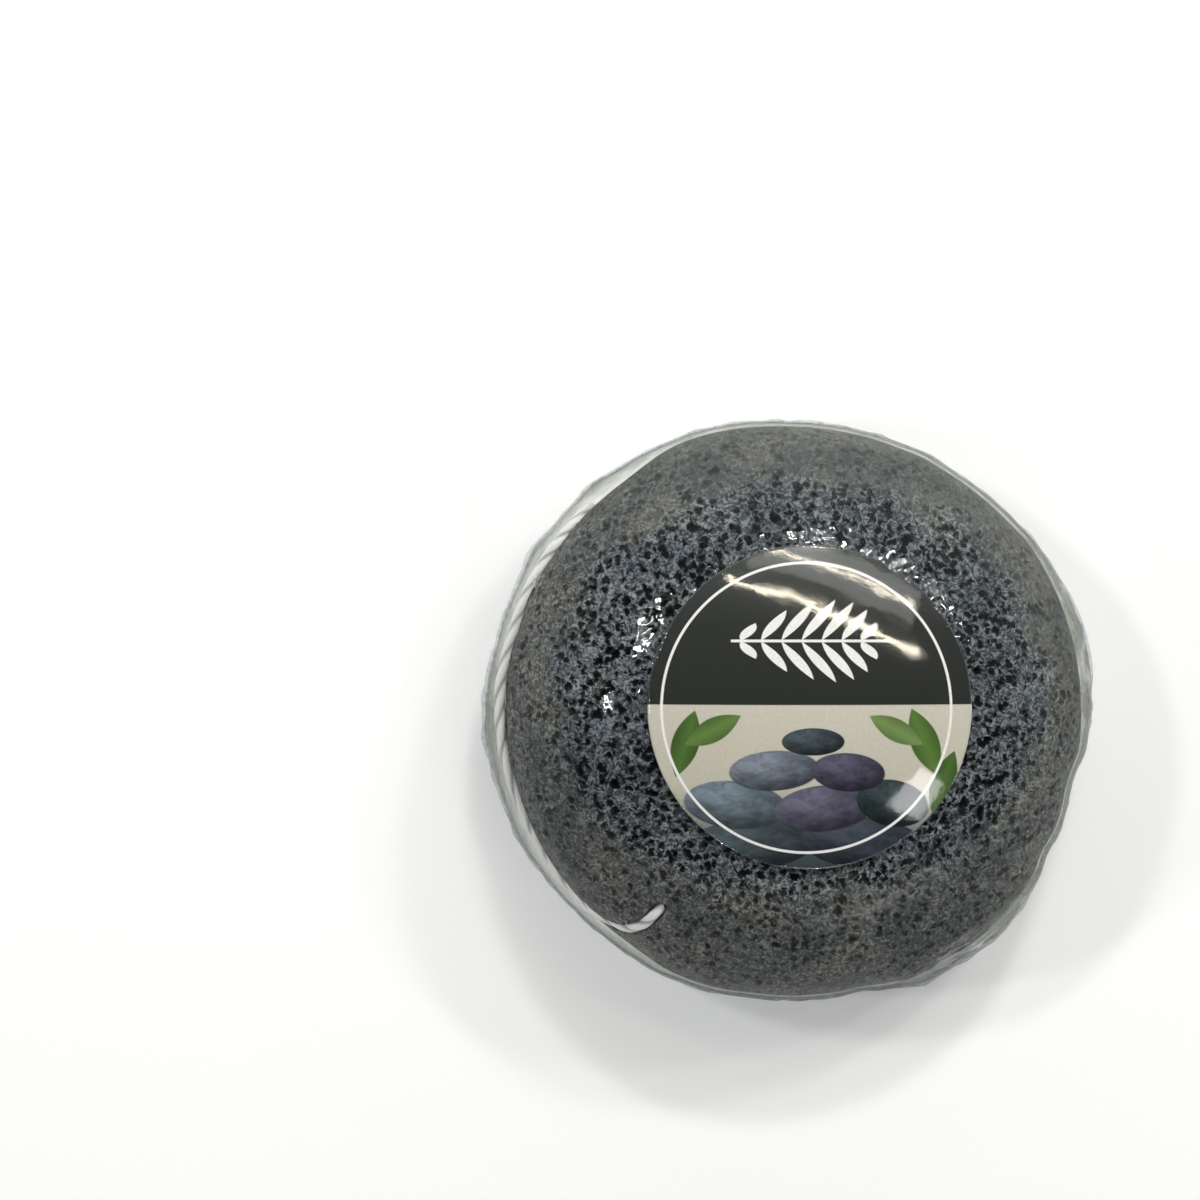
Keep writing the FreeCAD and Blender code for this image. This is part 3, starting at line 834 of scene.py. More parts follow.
# %% Creases
# Spacing and rise of the ridges in mm, how far they lean, their share and their sharpness.
crease_scales = ((4.2, 13.0, 0.35, 0.55, 4), (1.7, 6.0, -0.60, 0.30, 5), (1.0, 3.5, 0.90, 0.15, 4))


def creases(points, angle, channel):
    """Crease height from 0 to 1: noise drawn out up the flank, turned into ridges by one minus
    its size, raised to a power so that only sharp crests stay, at three scales. The noise is
    read round a circle, so that it closes, and the circle turns with height, so that ridges lean."""
    swirl = noise(points / 9.0, channel + 5)
    height = points[..., 2]
    total = np.zeros(height.shape)
    for step, (spacing, rise, lean, share, power) in enumerate(crease_scales):
        turned = angle + lean * height / sponge_radius
        ring = sponge_radius / spacing
        ridge = 1 - np.abs(noise(np.stack(
            [ring * np.cos(turned), ring * np.sin(turned), height / rise + 0.8 * swirl], -1), channel + step))
        total += share * ridge ** power
    return total


def film_surface(section, angles, reaches, standoff_fade, crease_fade, channel):
    """Points of a film web: a half section turned round the axis, pushed outwards by the ears'
    stand-off and along its normal by the creases. Also how high a crease stands at each point
    of the ears, and how free of the foam the film is."""
    radius, z, normal_r, normal_z = (value[:, None] for value in section_at(section, reaches))
    out = standoff_at(angles)[None, :] * standoff_fade[:, None]
    across, up = np.cos(angles)[None, :], np.sin(angles)[None, :]
    points = np.stack([(radius + out) * across, (radius + out) * up, z + 0 * out], -1)
    normals = np.stack([normal_r * across, normal_r * up, normal_z + 0 * out], -1)
    crest = creases(points, np.broadcast_to(angles, out.shape), channel)
    free = smooth_step(0.7, 2.0, out)
    push = crease_fade[:, None] * crest * (0.45 + 0.40 * free)
    return points + push[..., None] * normals, crest * free, free


print("ridges every", [scale[0] for scale in crease_scales], "mm")

# %% [markdown]
# The front web lies over the dome. Where the string stands higher than the foam, the film
# is drawn over it, so no point of the film comes nearer to the string's centre line than the
# string's radius and a little more.

# %% Front web
film_columns, film_rows = 512, 88
film_offset = film_gap + film_thickness
front_section = np.concatenate([crown_line, shoulder_line[1:]])
normal_parts = np.stack(section_at(front_section, along(front_section))[2:], 1)
front_section = front_section + film_offset * normal_parts
front_reach = along(front_section)[-1]
crown_share = along(crown_line)[-1] / front_reach
# Rows lie closer together towards the seal, where the creases are.
row_share = np.linspace(1 / film_rows, 1, film_rows) ** 0.8
flank = np.clip((row_share - crown_share) / (1 - crown_share), 0, 1)
angles = np.arange(film_columns) / film_columns * TURN
front_points, front_crest, front_free = film_surface(
    front_section, angles, row_share * front_reach,
    smooth_step(0.22, 1.0, flank), 0.55 * smooth_step(0.15, 0.85, flank), 70)


def drawn_over(points, line, clearance):
    """Points pushed straight away from a line wherever they are nearer than a clearance."""
    flat = points.reshape(-1, 3)
    near = np.flatnonzero((flat[:, 0] < -14) & (flat[:, 2] > 1.5))
    away = flat[near] - nearest_on(flat[near], line)
    distance = np.linalg.norm(away, axis=1)[:, None]
    scale = np.maximum(clearance / np.maximum(distance, 1e-6), 1)
    flat = flat.copy()
    flat[near] += away * (scale - 1)
    return flat.reshape(points.shape)


string_clearance = string_width / 2 + 0.28
front_points = drawn_over(front_points, pressing_line, string_clearance)
# On the left the string fills the ear, so the film over it is tight and clear again.
off_string = 1 - 0.85 * smooth_step(0.50, 0.80, -np.cos(angles))
front_crest, front_free = front_crest * off_string, front_free * off_string
top_point = np.array([[0, 0, top_z + film_offset]])
front_film = make_mesh(
    "front_shrink_film",
    np.concatenate([front_points.reshape(-1, 3), top_point]),
    quads_of(film_rows, film_columns, True)[:, ::-1],
    fan_of(np.arange(film_columns), film_rows * film_columns))
set_attribute(front_film, "crease", np.append(front_crest.ravel(), 0))
set_attribute(front_film, "free_film", np.append(front_free.ravel(), 0))
tight = 1 - smooth_step(21.5, 27.0, np.hypot(front_points[..., 0], front_points[..., 1]))
set_attribute(front_film, "tight_film", np.append(tight.ravel(), 1))
# Straight above the string the film is stretched thin, and the painted grey that the film gets edge on is left
# out there.
upper_string = string_line[string_line[:, 2] > 9][::3] * [1, 1, 0]
film_from_above = front_points.reshape(-1, 3) * [1, 1, 0]
beside = np.linalg.norm(film_from_above - nearest_on(film_from_above, upper_string), axis=1)
set_attribute(front_film, "over_string", np.append(1 - smooth_step(1.0, 2.4, beside), 0))

# %% [markdown]
# The back web is a shallow tray: a wall down from the seal, a rounded corner, and a flat floor.

# %% Back web
back_corner_reach, back_corner_share = 6.55, 0.75
film_radius = sponge_radius + film_offset
back_section_points = bezier([
    (film_radius, seal_low[2]),
    (film_radius, seal_low[2] * (1 - back_corner_share)),
    (film_radius - back_corner_reach * (1 - back_corner_share), 0),
    (film_radius - back_corner_reach, 0),
])
wall_length = along(back_section_points)[-1]
floor_steps = np.linspace(back_section_points[-1, 0], 0, 200)[1:, None]
back_section = np.concatenate([back_section_points, floor_steps * [1, 0]])
back_reach = along(back_section)[-1] - 0.2
back_share = np.concatenate([np.linspace(0, wall_length, 44), np.linspace(wall_length, back_reach, 26)[1:]])
climb = np.clip(1 - back_share / wall_length, 0, 1)
back_points, back_crest, back_free = film_surface(
    back_section, angles, back_share,
    climb ** 0.9, 0.5 * smooth_step(0.15, 0.6, climb), 90)
back_points = drawn_over(back_points, pressing_line, string_clearance)
back_points[..., 2] = np.clip(back_points[..., 2], 0, seal_low[2])
back_pole = len(back_share) * film_columns
back_film = make_mesh(
    "back_shrink_film",
    np.concatenate([back_points.reshape(-1, 3), [[0, 0, 0]]]),
    quads_of(len(back_share), film_columns, True)[:, ::-1],
    fan_of(np.arange(back_pole - film_columns, back_pole)[::-1], back_pole))
set_attribute(back_film, "crease", np.append(back_crest.ravel(), 0))
set_attribute(back_film, "free_film", np.append(back_free.ravel(), 0))

# %% [markdown]
# Both webs are single surfaces so far. A Solidify modifier gives them their wall, inwards, as the
# surface is the film's outer face.

# %% Film thickness
for film in (front_film, back_film):
    wall = film.modifiers.new("film_thickness", "SOLIDIFY")
    wall.thickness = film_thickness * MM
    wall.offset = -1.0
print("film wall", film_thickness, "mm")

# %% [markdown]
# ## Trim seal
# The hot wire cuts and welds the two webs at once, and leaves a thin wavy lip. It is a
# ribbon round the widest plane, a few tenths wide, and wider at the ears.

# %% Trim seal
seal_columns, seal_sides = 1024, 12
seal_angles = np.arange(seal_columns) / seal_columns * TURN
lip = 0.30 + 0.35 * smooth_step(0.8, 2.3, standoff_at(seal_angles)) + 0.16 * noise(
    np.stack([np.cos(seal_angles) * 22, np.sin(seal_angles) * 22, 0 * seal_angles], -1), 81)
wave = 0.22 * noise(np.stack([np.cos(seal_angles) * 9, np.sin(seal_angles) * 9, 0 * seal_angles], -1), 82)
middle = sponge_radius + film_gap + standoff_at(seal_angles) + 0.07 + lip / 2
section_turn = np.arange(seal_sides) / seal_sides * TURN
# A flat oval: its half width is the lip's, its half height thins from the weld to the cut.
oval_out = np.cos(section_turn)[:, None] * (lip / 2 + 0.10)
oval_up = np.sin(section_turn)[:, None] * (0.17 - 0.09 * np.cos(section_turn)[:, None])
seal_radius = middle + oval_out
seal_points = np.stack([seal_radius * np.cos(seal_angles), seal_radius * np.sin(seal_angles),
                        widest_z + oval_up + wave * (0.5 + 0.5 * np.cos(section_turn)[:, None])], -1)
# The last row of the section is its first again, so the tube closes.
seal_quads = quads_of(seal_sides + 1, seal_columns, True) % (seal_sides * seal_columns)
seal = make_mesh("welded_trim_seal", seal_points.reshape(-1, 3), seal_quads, np.zeros((0, 3), int))
print("lip from", round(lip.min(), 2), "to", round(lip.max(), 2), "mm")

# %% [markdown]
# ### Clear shrink film
# Polyolefin shrink film is blown thin and stretched both ways. It is clear, and what the eye
# sees is its gloss: a faint mirror image seen straight on, and a strong one at a grazing
# angle. A glass shader would block the light to the sponge, so the film is a mix of see-through
# and gloss, and the share of gloss grows with a high power of the facing value, as Schlick's
# rule has it. Over the crown the film is stretched tight and shines. Down the flank it has
# shrunk most, which takes its shine. In the ears it is gathered, so grey streaks of painted
# shade run along its lines, and its creases are a little milky.

# %% How much the film mirrors
film_material, film_out = new_material("clear_shrink_film")
place = add_node(film_material, "TexCoord")
facing = add_node(film_material, "LayerWeight", Blend=0.5)
edge_rise = add_node(film_material, "Math", {0: facing.outputs["Facing"]}, operation="POWER", in1=6.0)
tight_value = add_node(film_material, "Attribute", attribute_name="tight_film")
head_on = add_node(film_material, "MapRange", {"Value": tight_value.outputs["Fac"]}, To_Min=0.003, To_Max=0.014)
free_value = add_node(film_material, "Attribute", attribute_name="free_film")
ear_shine = add_node(film_material, "Math", {0: free_value.outputs["Fac"], 2: head_on.outputs[0]},
                     operation="MULTIPLY_ADD", in1=0.04)
gloss_share = add_node(film_material, "Math", {0: edge_rise.outputs[0], 2: ear_shine.outputs[0]},
                       operation="MULTIPLY_ADD", in1=0.22)
print("mirrored head on: 0.3 to 1.4 percent, and 22 more edge on")

# %% Ripples and puckers
# Slow ripples over the whole web, and sharper puckers of 2 mm that the sticker's edge makes.
ripples = add_node(film_material, "TexNoise", {"Vector": place.outputs["Object"]},
                   Scale=1 / (3.2 * MM), Detail=2.0)
puckers = add_node(film_material, "TexNoise", {"Vector": place.outputs["Object"]},
                   Scale=1 / (2.0 * MM), Detail=0.8, Distortion=0.6)
label_place = add_node(film_material, "Mapping", {"Vector": place.outputs["Object"]},
                       Location=(-label_shift[0] * MM, -label_shift[1] * MM, 0))
flat_place = add_node(film_material, "VectorMath", {0: label_place.outputs[0]}, operation="MULTIPLY",
                      in1=(1, 1, 0))
label_distance = add_node(film_material, "VectorMath", {0: flat_place.outputs[0]}, operation="LENGTH")
near_label = add_node(film_material, "MapRange", {"Value": label_distance.outputs["Value"]},
                      From_Min=20.3 * MM, From_Max=25.5 * MM, To_Min=1.0, To_Max=0.12)
ripple_bump = add_node(film_material, "Bump", {"Height": ripples.outputs["Fac"]},
                       Strength=1.0, Distance=0.10 * MM)
pucker_bump = add_node(film_material, "Bump", {
    "Height": puckers.outputs["Fac"], "Normal": ripple_bump.outputs[0], "Strength": near_label.outputs[0]},
    Distance=0.34 * MM)
print("puckers within", 25.5, "mm of the sticker's middle")

# %% [markdown]
# Where the film stands free it gathers in fine lines that run round the rim: noise read at the
# distance from the axis and the height, which hardly change along a line. The same noise gives
# the lines their relief and, in the next cell, their grey of painted shade.

# %% Gathered lines
axis_place = add_node(film_material, "VectorMath", {0: place.outputs["Object"]}, operation="MULTIPLY",
                      in1=(1, 1, 0))
axis_distance = add_node(film_material, "VectorMath", {0: axis_place.outputs[0]}, operation="LENGTH")
height_part = add_node(film_material, "SeparateXYZ", {0: place.outputs["Object"]})
slow = add_node(film_material, "TexNoise", {"Vector": place.outputs["Object"]}, Scale=1 / (9 * MM), Detail=1.0)
slow_mm = add_node(film_material, "Math", {0: slow.outputs["Fac"]}, operation="MULTIPLY", in1=9 * MM)
line_place = add_node(film_material, "CombineXYZ", {
    0: axis_distance.outputs["Value"], 1: height_part.outputs[2], 2: slow_mm.outputs[0]})
lines = add_node(film_material, "TexNoise", {"Vector": line_place.outputs[0]}, Scale=1 / (1.1 * MM), Detail=3.0,
                 Roughness=0.6)
line_bump = add_node(film_material, "Bump", {
    "Height": lines.outputs["Fac"], "Normal": pucker_bump.outputs[0], "Strength": free_value.outputs["Fac"]},
    Distance=0.45 * MM)
film_gloss = add_node(film_material, "BsdfAnisotropic", {"Normal": line_bump.outputs[0]},
                      Color=linear("#ffffff"), Roughness=0.04)
print("lines every", 1.1, "mm")

# %% Clear film, painted grey and milk
# Seen edge on, the film's see-through colour is painted grey: painted shade for the dark reflections and
# creases seen in the film there.
edge_on_grey_paint = add_node(film_material, "ValToRGB", {"Fac": facing.outputs["Facing"]}, [
    (0.0, "#ffffff"), (0.45, "#ffffff"), (0.72, "#f6f7f5"), (0.88, "#e4e6e3"), (1.0, "#bcbeba")])
string_value = add_node(film_material, "Attribute", attribute_name="over_string")
grey_lift_share = add_node(film_material, "Math", {0: string_value.outputs["Fac"]}, operation="MULTIPLY", in1=0.85)
edge_grey_over_string = add_node(film_material, "Mix", {0: grey_lift_share.outputs[0], 6: edge_on_grey_paint.outputs[0]},
                     data_type="RGBA", in7=linear("#ffffff"))
# In the ears the film is gathered, and grey streaks of painted shade run along its lines.
streaks = add_node(film_material, "MapRange", {"Value": lines.outputs["Fac"]}, From_Min=0.36, From_Max=0.62,
                   To_Min=0.25, To_Max=1.0)
crease_shade_and_milk_share = add_node(film_material, "Math", {0: streaks.outputs[0], 1: free_value.outputs["Fac"]},
                        operation="MULTIPLY")
crease_shaded_tone = add_node(film_material, "Mix", {0: crease_shade_and_milk_share.outputs[0], 6: edge_grey_over_string.outputs[2]},
                    data_type="RGBA", blend_type="MULTIPLY", in7=linear("#dadcd6"))
print("streak tones:", len(edge_on_grey_paint.color_ramp.elements))

# %% [markdown]
# Low on the flank at the lower right the film is pleated against the foam: painted shade darkens the
# folds, and a painted highlight whitens the crests between them, along the same lines. Then the
# see-through film, its gloss and its milk are mixed.

# %% Pleats and the film's finish
pleat_middle = (21.3 * MM, -30.0 * MM, 20.0 * MM)
pleat_distance = add_node(film_material, "VectorMath", {0: place.outputs["Object"]},
                          operation="DISTANCE", in1=pleat_middle)
painted_pleat_zone = add_node(film_material, "MapRange", {"Value": pleat_distance.outputs["Value"]},
                   From_Min=2.5 * MM, From_Max=7.0 * MM, To_Min=1.0, To_Max=0.0)
# Painted shade in the pleats' folds.
folds = add_node(film_material, "MapRange", {"Value": lines.outputs["Fac"]},
                 From_Min=0.42, From_Max=0.49, To_Min=1.0, To_Max=0.0)
fold_shade_share = add_node(film_material, "Math", {0: folds.outputs[0], 1: painted_pleat_zone.outputs[0]},
                      operation="MULTIPLY")
fold_shaded_tone = add_node(film_material, "Mix", {0: fold_shade_share.outputs[0], 6: crease_shaded_tone.outputs[2]},
                     data_type="RGBA", blend_type="MULTIPLY", in7=linear("#b4b8b8"))
# A painted highlight on the pleats' crests, added to the milk.
crests = add_node(film_material, "MapRange", {"Value": lines.outputs["Fac"]},
                  From_Min=0.51, From_Max=0.58, To_Min=0.0, To_Max=0.32)
crest_highlight_share = add_node(film_material, "Math", {0: crests.outputs[0], 1: painted_pleat_zone.outputs[0]},
                       operation="MULTIPLY")
film_clear = add_node(film_material, "BsdfTransparent", {"Color": fold_shaded_tone.outputs[2]})
film_mix = add_node(film_material, "MixShader", {
    0: gloss_share.outputs[0], 1: film_clear.outputs[0], 2: film_gloss.outputs[0]})
crease_value = add_node(film_material, "Attribute", attribute_name="crease")
milk_share = add_node(film_material, "MapRange", {"Value": crease_value.outputs["Fac"]},
                      From_Min=0.20, From_Max=0.6, To_Min=0.0, To_Max=0.30)
ear_milk = add_node(film_material, "Math", {0: crease_shade_and_milk_share.outputs[0], 2: milk_share.outputs[0]},
                    operation="MULTIPLY_ADD", in1=0.14)
milk_and_crest_highlight = add_node(film_material, "Math", {0: ear_milk.outputs[0], 1: crest_highlight_share.outputs[0]},
                    operation="ADD")
milk = add_node(film_material, "BsdfDiffuse", Color=linear("#e9ecec"))
film_surface_mix = add_node(film_material, "MixShader", {
    0: milk_and_crest_highlight.outputs[0], 1: film_mix.outputs[0], 2: milk.outputs[0]})
film_material.node_tree.links.new(film_surface_mix.outputs[0], film_out.inputs[0])
for piece in (front_film, back_film):
    piece.data.materials.append(film_material)
print(film_material.name, "nodes:", len(film_material.node_tree.nodes))

# %% [markdown]
# ### Welded film
# Where the wire melted both webs into one lip, the film is whiter and full of tiny blisters. So
# a plain plastic shows through the clear one in spots of noise, with the blisters as its bump.

# %% Welded film
weld, weld_out = new_material("welded_film_edge")
place = add_node(weld, "TexCoord")
blisters = add_node(weld, "TexNoise", {"Vector": place.outputs["Object"]},
                    Scale=1 / (0.9 * MM), Detail=3.0)
weld_bump = add_node(weld, "Bump", {"Height": blisters.outputs["Fac"]}, Strength=0.7, Distance=0.2 * MM)
weld_gloss = add_node(weld, "BsdfPrincipled", {"Normal": weld_bump.outputs[0]},
                      Base_Color=linear("#dfe3e4"), Roughness=0.22, IOR=1.5)
weld_clear = add_node(weld, "BsdfTransparent", Color=linear("#eef1f1"))
weld_share = add_node(weld, "MapRange", {"Value": blisters.outputs["Fac"]},
                      From_Min=0.3, From_Max=0.7, To_Min=0.25, To_Max=0.6)
weld_mix = add_node(weld, "MixShader", {
    0: weld_share.outputs[0], 1: weld_clear.outputs[0], 2: weld_gloss.outputs[0]})
weld.node_tree.links.new(weld_mix.outputs[0], weld_out.inputs[0])
seal.data.materials.append(weld)
print(weld.name, "on", seal.name)

# %% [markdown]
# ## Sticker
# A round paper sticker of 40 mm under a gloss laminate. It is pressed on film, not on a table,
# so it is never quite flat: slow waves of a twentieth of a millimetre bend its reflections.
# All three layers share the waves.

# %% Sticker layers
label_radius, label_layer, label_seat_gap, label_lift = 20.2, 0.12, 0.06, 0.06


def label_disc(name, layer, rings=72, columns=288):
    """One layer of the sticker: a patch of the crown's own sphere, centred on the sticker, with
    waves of slow noise, closed round its edge. Rings run out over the top and back beneath."""
    inner = crown_curve_radius + film_offset + label_seat_gap + layer * label_layer
    outer = inner + label_layer * 0.96
    share = np.linspace(0, 1, rings + 1)[1:]
    edge_angle = np.arcsin(label_radius / inner)
    polar = np.concatenate([share, share[::-1]]) * edge_angle
    shell = np.concatenate([np.full(rings, outer), np.full(rings, inner)])
    spin = np.arange(columns) / columns * TURN
    ball = np.stack([shell[:, None] * np.sin(polar)[:, None] * np.cos(spin),
                     shell[:, None] * np.sin(polar)[:, None] * np.sin(spin),
                     shell[:, None] * np.cos(polar)[:, None] + 0 * spin], -1).reshape(-1, 3)
    ball = np.concatenate([ball, [[0, 0, outer], [0, 0, inner]]])
    tilt_x, tilt_y = np.arcsin(label_shift[0] / inner), -np.arcsin(label_shift[1] / inner)
    turn_y = np.array([[np.cos(tilt_x), 0, np.sin(tilt_x)], [0, 1, 0], [-np.sin(tilt_x), 0, np.cos(tilt_x)]])
    turn_x = np.array([[1, 0, 0], [0, np.cos(tilt_y), -np.sin(tilt_y)], [0, np.sin(tilt_y), np.cos(tilt_y)]])
    ball = ball @ (turn_x @ turn_y).T
    rise = 0.035 * noise(ball / 6.5, 101) + 0.010 * noise(ball / 2.4, 102)
    ball = ball * (1 + (rise[:, None] + label_lift) / inner) + [0, 0, crown_centre_z]
    count = 2 * rings * columns
    caps = np.concatenate([fan_of(np.arange(columns), count),
                           fan_of(np.arange(columns)[::-1] + (2 * rings - 1) * columns, count + 1)])
    return make_mesh(name, ball, quads_of(2 * rings, columns, True)[:, ::-1], caps)


adhesive = label_disc("sticker_adhesive_film", 0)
face = label_disc("sticker_printed_face", 1)
laminate = label_disc("sticker_gloss_laminate", 2)

# %% [markdown]
# ### Acrylic adhesive
# A layer of clear pressure-sensitive adhesive, a little milky. It shows only at the edge.

# %% Acrylic adhesive
glue, glue_out = new_material("clear_acrylic_adhesive")
place = add_node(glue, "TexCoord")
bubbles = add_node(glue, "TexNoise", {"Vector": place.outputs["Object"]}, Scale=1 / (1.5 * MM), Detail=2.0)
glue_tone = add_node(glue, "ValToRGB", {"Fac": bubbles.outputs["Fac"]}, [(0.3, "#c9cbc6"), (0.7, "#dedfda")])
glue_skin = add_node(glue, "BsdfPrincipled", {"Base Color": glue_tone.outputs[0]}, Roughness=0.35, IOR=1.47)
glue.node_tree.links.new(glue_skin.outputs[0], glue_out.inputs[0])
adhesive.data.materials.append(glue)
print(glue.name, "on", adhesive.name)

# %% [markdown]
# ### Printed sticker face
# The face is printed paper: a charcoal grey panel over a cream one, with a thin white ring.
# The pictures are plain shapes of this script's own: a white sprig above, and below it a heap
# of smooth river stones between broad tea leaves. Each is a formula in millimetres from the
# sticker's centre. An ellipse is where a scaled distance is under 1, and a leaf is where the
# distance from its midrib is under a parabola.

# %% Print coordinates and panels
printed, printed_out = new_material("printed_sticker_paper")
place = add_node(printed, "TexCoord")
on_label = add_node(printed, "Mapping", {"Vector": place.outputs["Object"]},
                    Location=(-label_shift[0], -label_shift[1], 0), Scale=(1 / MM, 1 / MM, 0))
spot = add_node(printed, "SeparateXYZ", {0: on_label.outputs[0]})
across_mm, up_mm = spot.outputs[0], spot.outputs[1]
ink_noise = add_node(printed, "TexNoise", {"Vector": on_label.outputs[0]}, Scale=1 / 0.35, Detail=3.0)
print("print is drawn in mm from", label_shift)


def over(below, above, share):
    """A colour laid over another where a share from 0 to 1 says so."""
    return add_node(printed, "Mix", {0: share, 6: below, 7: above}, data_type="RGBA").outputs[2]


upper_share = add_node(printed, "MapRange", {"Value": up_mm}, From_Min=0.22, From_Max=0.30).outputs[0]
upper_height = add_node(printed, "MapRange", {"Value": up_mm}, From_Min=0.0, From_Max=20.0)
upper_tone = add_node(printed, "ValToRGB", {"Fac": upper_height.outputs[0]},
                      [(0.0, "#323431"), (0.5, "#373937"), (0.8, "#434643"), (1.0, "#50544f")])
lower_height = add_node(printed, "MapRange", {"Value": up_mm}, From_Min=-20.0, From_Max=0.0)
lower_tone = add_node(printed, "ValToRGB", {"Fac": lower_height.outputs[0]}, [
    (0.0, "#3f4748"), (0.16, "#566062"), (0.34, "#a4a498"), (0.5, "#c6c2b2"), (1.0, "#cfcbbd")])
colour = over(lower_tone.outputs[0], upper_tone.outputs[0], upper_share)

# %% Tea leaves
# Each leaf: middle across and up, half length, half width, turn in degrees, colour.
leaves = (
    (-15.6, -4.6, 4.4, 1.75, 74, "#4d6a34"), (-12.2, -2.9, 4.0, 1.55, 28, "#5f7b41"),
    (14.2, -4.4, 4.6, 1.85, 112, "#557339"), (10.6, -2.9, 3.9, 1.45, 152, "#6d8750"),
    (16.6, -9.4, 4.2, 1.60, 70, "#48642f"),
)
for across, up, half_length, half_width, degrees, leaf_colour in leaves:
    lie = np.radians(degrees)
    shift = np.array([[np.cos(lie), np.sin(lie)], [-np.sin(lie), np.cos(lie)]]) @ (-across, -up)
    own = add_node(printed, "Mapping", {"Vector": on_label.outputs[0]}, Rotation=(0, 0, -lie),
                   Location=(shift[0], shift[1], 0))
    part = add_node(printed, "SeparateXYZ", {0: own.outputs[0]})
    length_share = add_node(printed, "Math", {0: part.outputs[0]}, operation="DIVIDE", in1=half_length)
    squared = add_node(printed, "Math", {0: length_share.outputs[0], 1: length_share.outputs[0]},
                       operation="MULTIPLY")
    half = add_node(printed, "Math", {0: squared.outputs[0]}, operation="MULTIPLY_ADD",
                    in1=-half_width, in2=half_width)
    aside = add_node(printed, "Math", {0: part.outputs[1]}, operation="ABSOLUTE")
    inside = add_node(printed, "Math", {0: half.outputs[0], 1: aside.outputs[0]}, operation="SUBTRACT")
    cover = add_node(printed, "MapRange", {"Value": inside.outputs[0]}, From_Min=0.0, From_Max=0.12)
    rib = add_node(printed, "MapRange", {"Value": aside.outputs[0]}, From_Min=0.0, From_Max=half_width,
                   To_Min=1.25, To_Max=0.72)
    shade = add_node(printed, "Mix", {7: rib.outputs[0]}, data_type="RGBA", blend_type="MULTIPLY", in0=1.0,
                     in6=linear(leaf_colour))
    colour = over(colour, shade.outputs[2], cover.outputs[0])
print("leaves:", len(leaves))

# %% River stones
# Each stone: middle across and up, half width, half height, turn in degrees, colour. Veins of
# noise, drawn out along the stone, mottle it, and it darkens towards its rim.
pebbles = (
    (-7.6, -17.2, 8.2, 3.2, 4, "#434d51"), (6.6, -17.0, 8.0, 3.3, -6, "#3b4149"),
    (-9.4, -12.2, 6.4, 3.0, -5, "#66727a"), (1.6, -12.6, 6.2, 2.9, 5, "#5a5868"),
    (10.2, -12.0, 4.6, 2.9, -12, "#2f3a3c"), (-4.6, -7.9, 5.6, 2.5, 3, "#6c747e"),
    (4.6, -8.1, 4.6, 2.4, -4, "#4e4b5c"), (0.2, -4.3, 3.9, 1.7, 0, "#414a4e"),
)
for across, up, half_width, half_height, degrees, stone_colour in pebbles:
    lie = np.radians(degrees)
    turned = np.array([[np.cos(lie), np.sin(lie)], [-np.sin(lie), np.cos(lie)]]) @ (-across, -up)
    own = add_node(printed, "Mapping", {"Vector": on_label.outputs[0]}, Rotation=(0, 0, -lie),
                   Location=(turned[0], turned[1], 0))
    scaled = add_node(printed, "VectorMath", {0: own.outputs[0]}, operation="DIVIDE",
                      in1=(half_width, half_height, 1))
    distance = add_node(printed, "VectorMath", {0: scaled.outputs[0]}, operation="LENGTH")
    cover = add_node(printed, "MapRange", {"Value": distance.outputs["Value"]},
                     From_Min=0.98, From_Max=1.02, To_Min=1.0, To_Max=0.0)
    lit = add_node(printed, "VectorMath", {0: scaled.outputs[0]}, operation="DISTANCE", in1=(-0.3, 0.55, 0))
    round_tone = add_node(printed, "MapRange", {"Value": lit.outputs["Value"]}, From_Min=0.0, From_Max=1.5,
                          To_Min=1.75, To_Max=0.35)
    veins = add_node(printed, "TexNoise", {"Vector": scaled.outputs[0]}, Scale=2.6, Detail=4.0, Distortion=0.8)
    vein_tone = add_node(printed, "MapRange", {"Value": veins.outputs["Fac"]}, From_Min=0.3, From_Max=0.7,
                         To_Min=0.65, To_Max=1.35)
    mottled = add_node(printed, "Math", {0: round_tone.outputs[0], 1: vein_tone.outputs[0]},
                       operation="MULTIPLY")
    shade = add_node(printed, "Mix", {7: mottled.outputs[0]}, data_type="RGBA", blend_type="MULTIPLY", in0=1.0,
                     in6=linear(stone_colour))
    colour = over(colour, shade.outputs[2], cover.outputs[0])
print("stones:", len(pebbles))

# %% White sprig
# Leaf pairs lean 50 degrees off a level stem. Following that lean back to the stem gives the
# pair's place, and its share of one spacing gives the place across the leaf.
sprig_middle, sprig_half, sprig_spacing, leaf_reach = 8.2, 10.0, 2.5, 5.2
lean = 1 / np.tan(np.radians(50))
risen = add_node(printed, "Math", {0: up_mm}, operation="SUBTRACT", in1=sprig_middle)
off_stem = add_node(printed, "Math", {0: risen.outputs[0]}, operation="ABSOLUTE")
back_along = add_node(printed, "Math", {0: off_stem.outputs[0], 2: across_mm},
                      operation="MULTIPLY_ADD", in1=-lean)
pair = add_node(printed, "Math", {0: back_along.outputs[0]}, operation="DIVIDE", in1=sprig_spacing)
pair_start = add_node(printed, "Math", {0: pair.outputs[0]}, operation="FLOOR")
pair_share = add_node(printed, "Math", {0: pair.outputs[0]}, operation="FRACT")
leaf_across = add_node(printed, "Math", {0: pair_share.outputs[0]}, operation="SUBTRACT", in1=0.5)
leaf_aside = add_node(printed, "Math", {0: leaf_across.outputs[0]}, operation="ABSOLUTE")
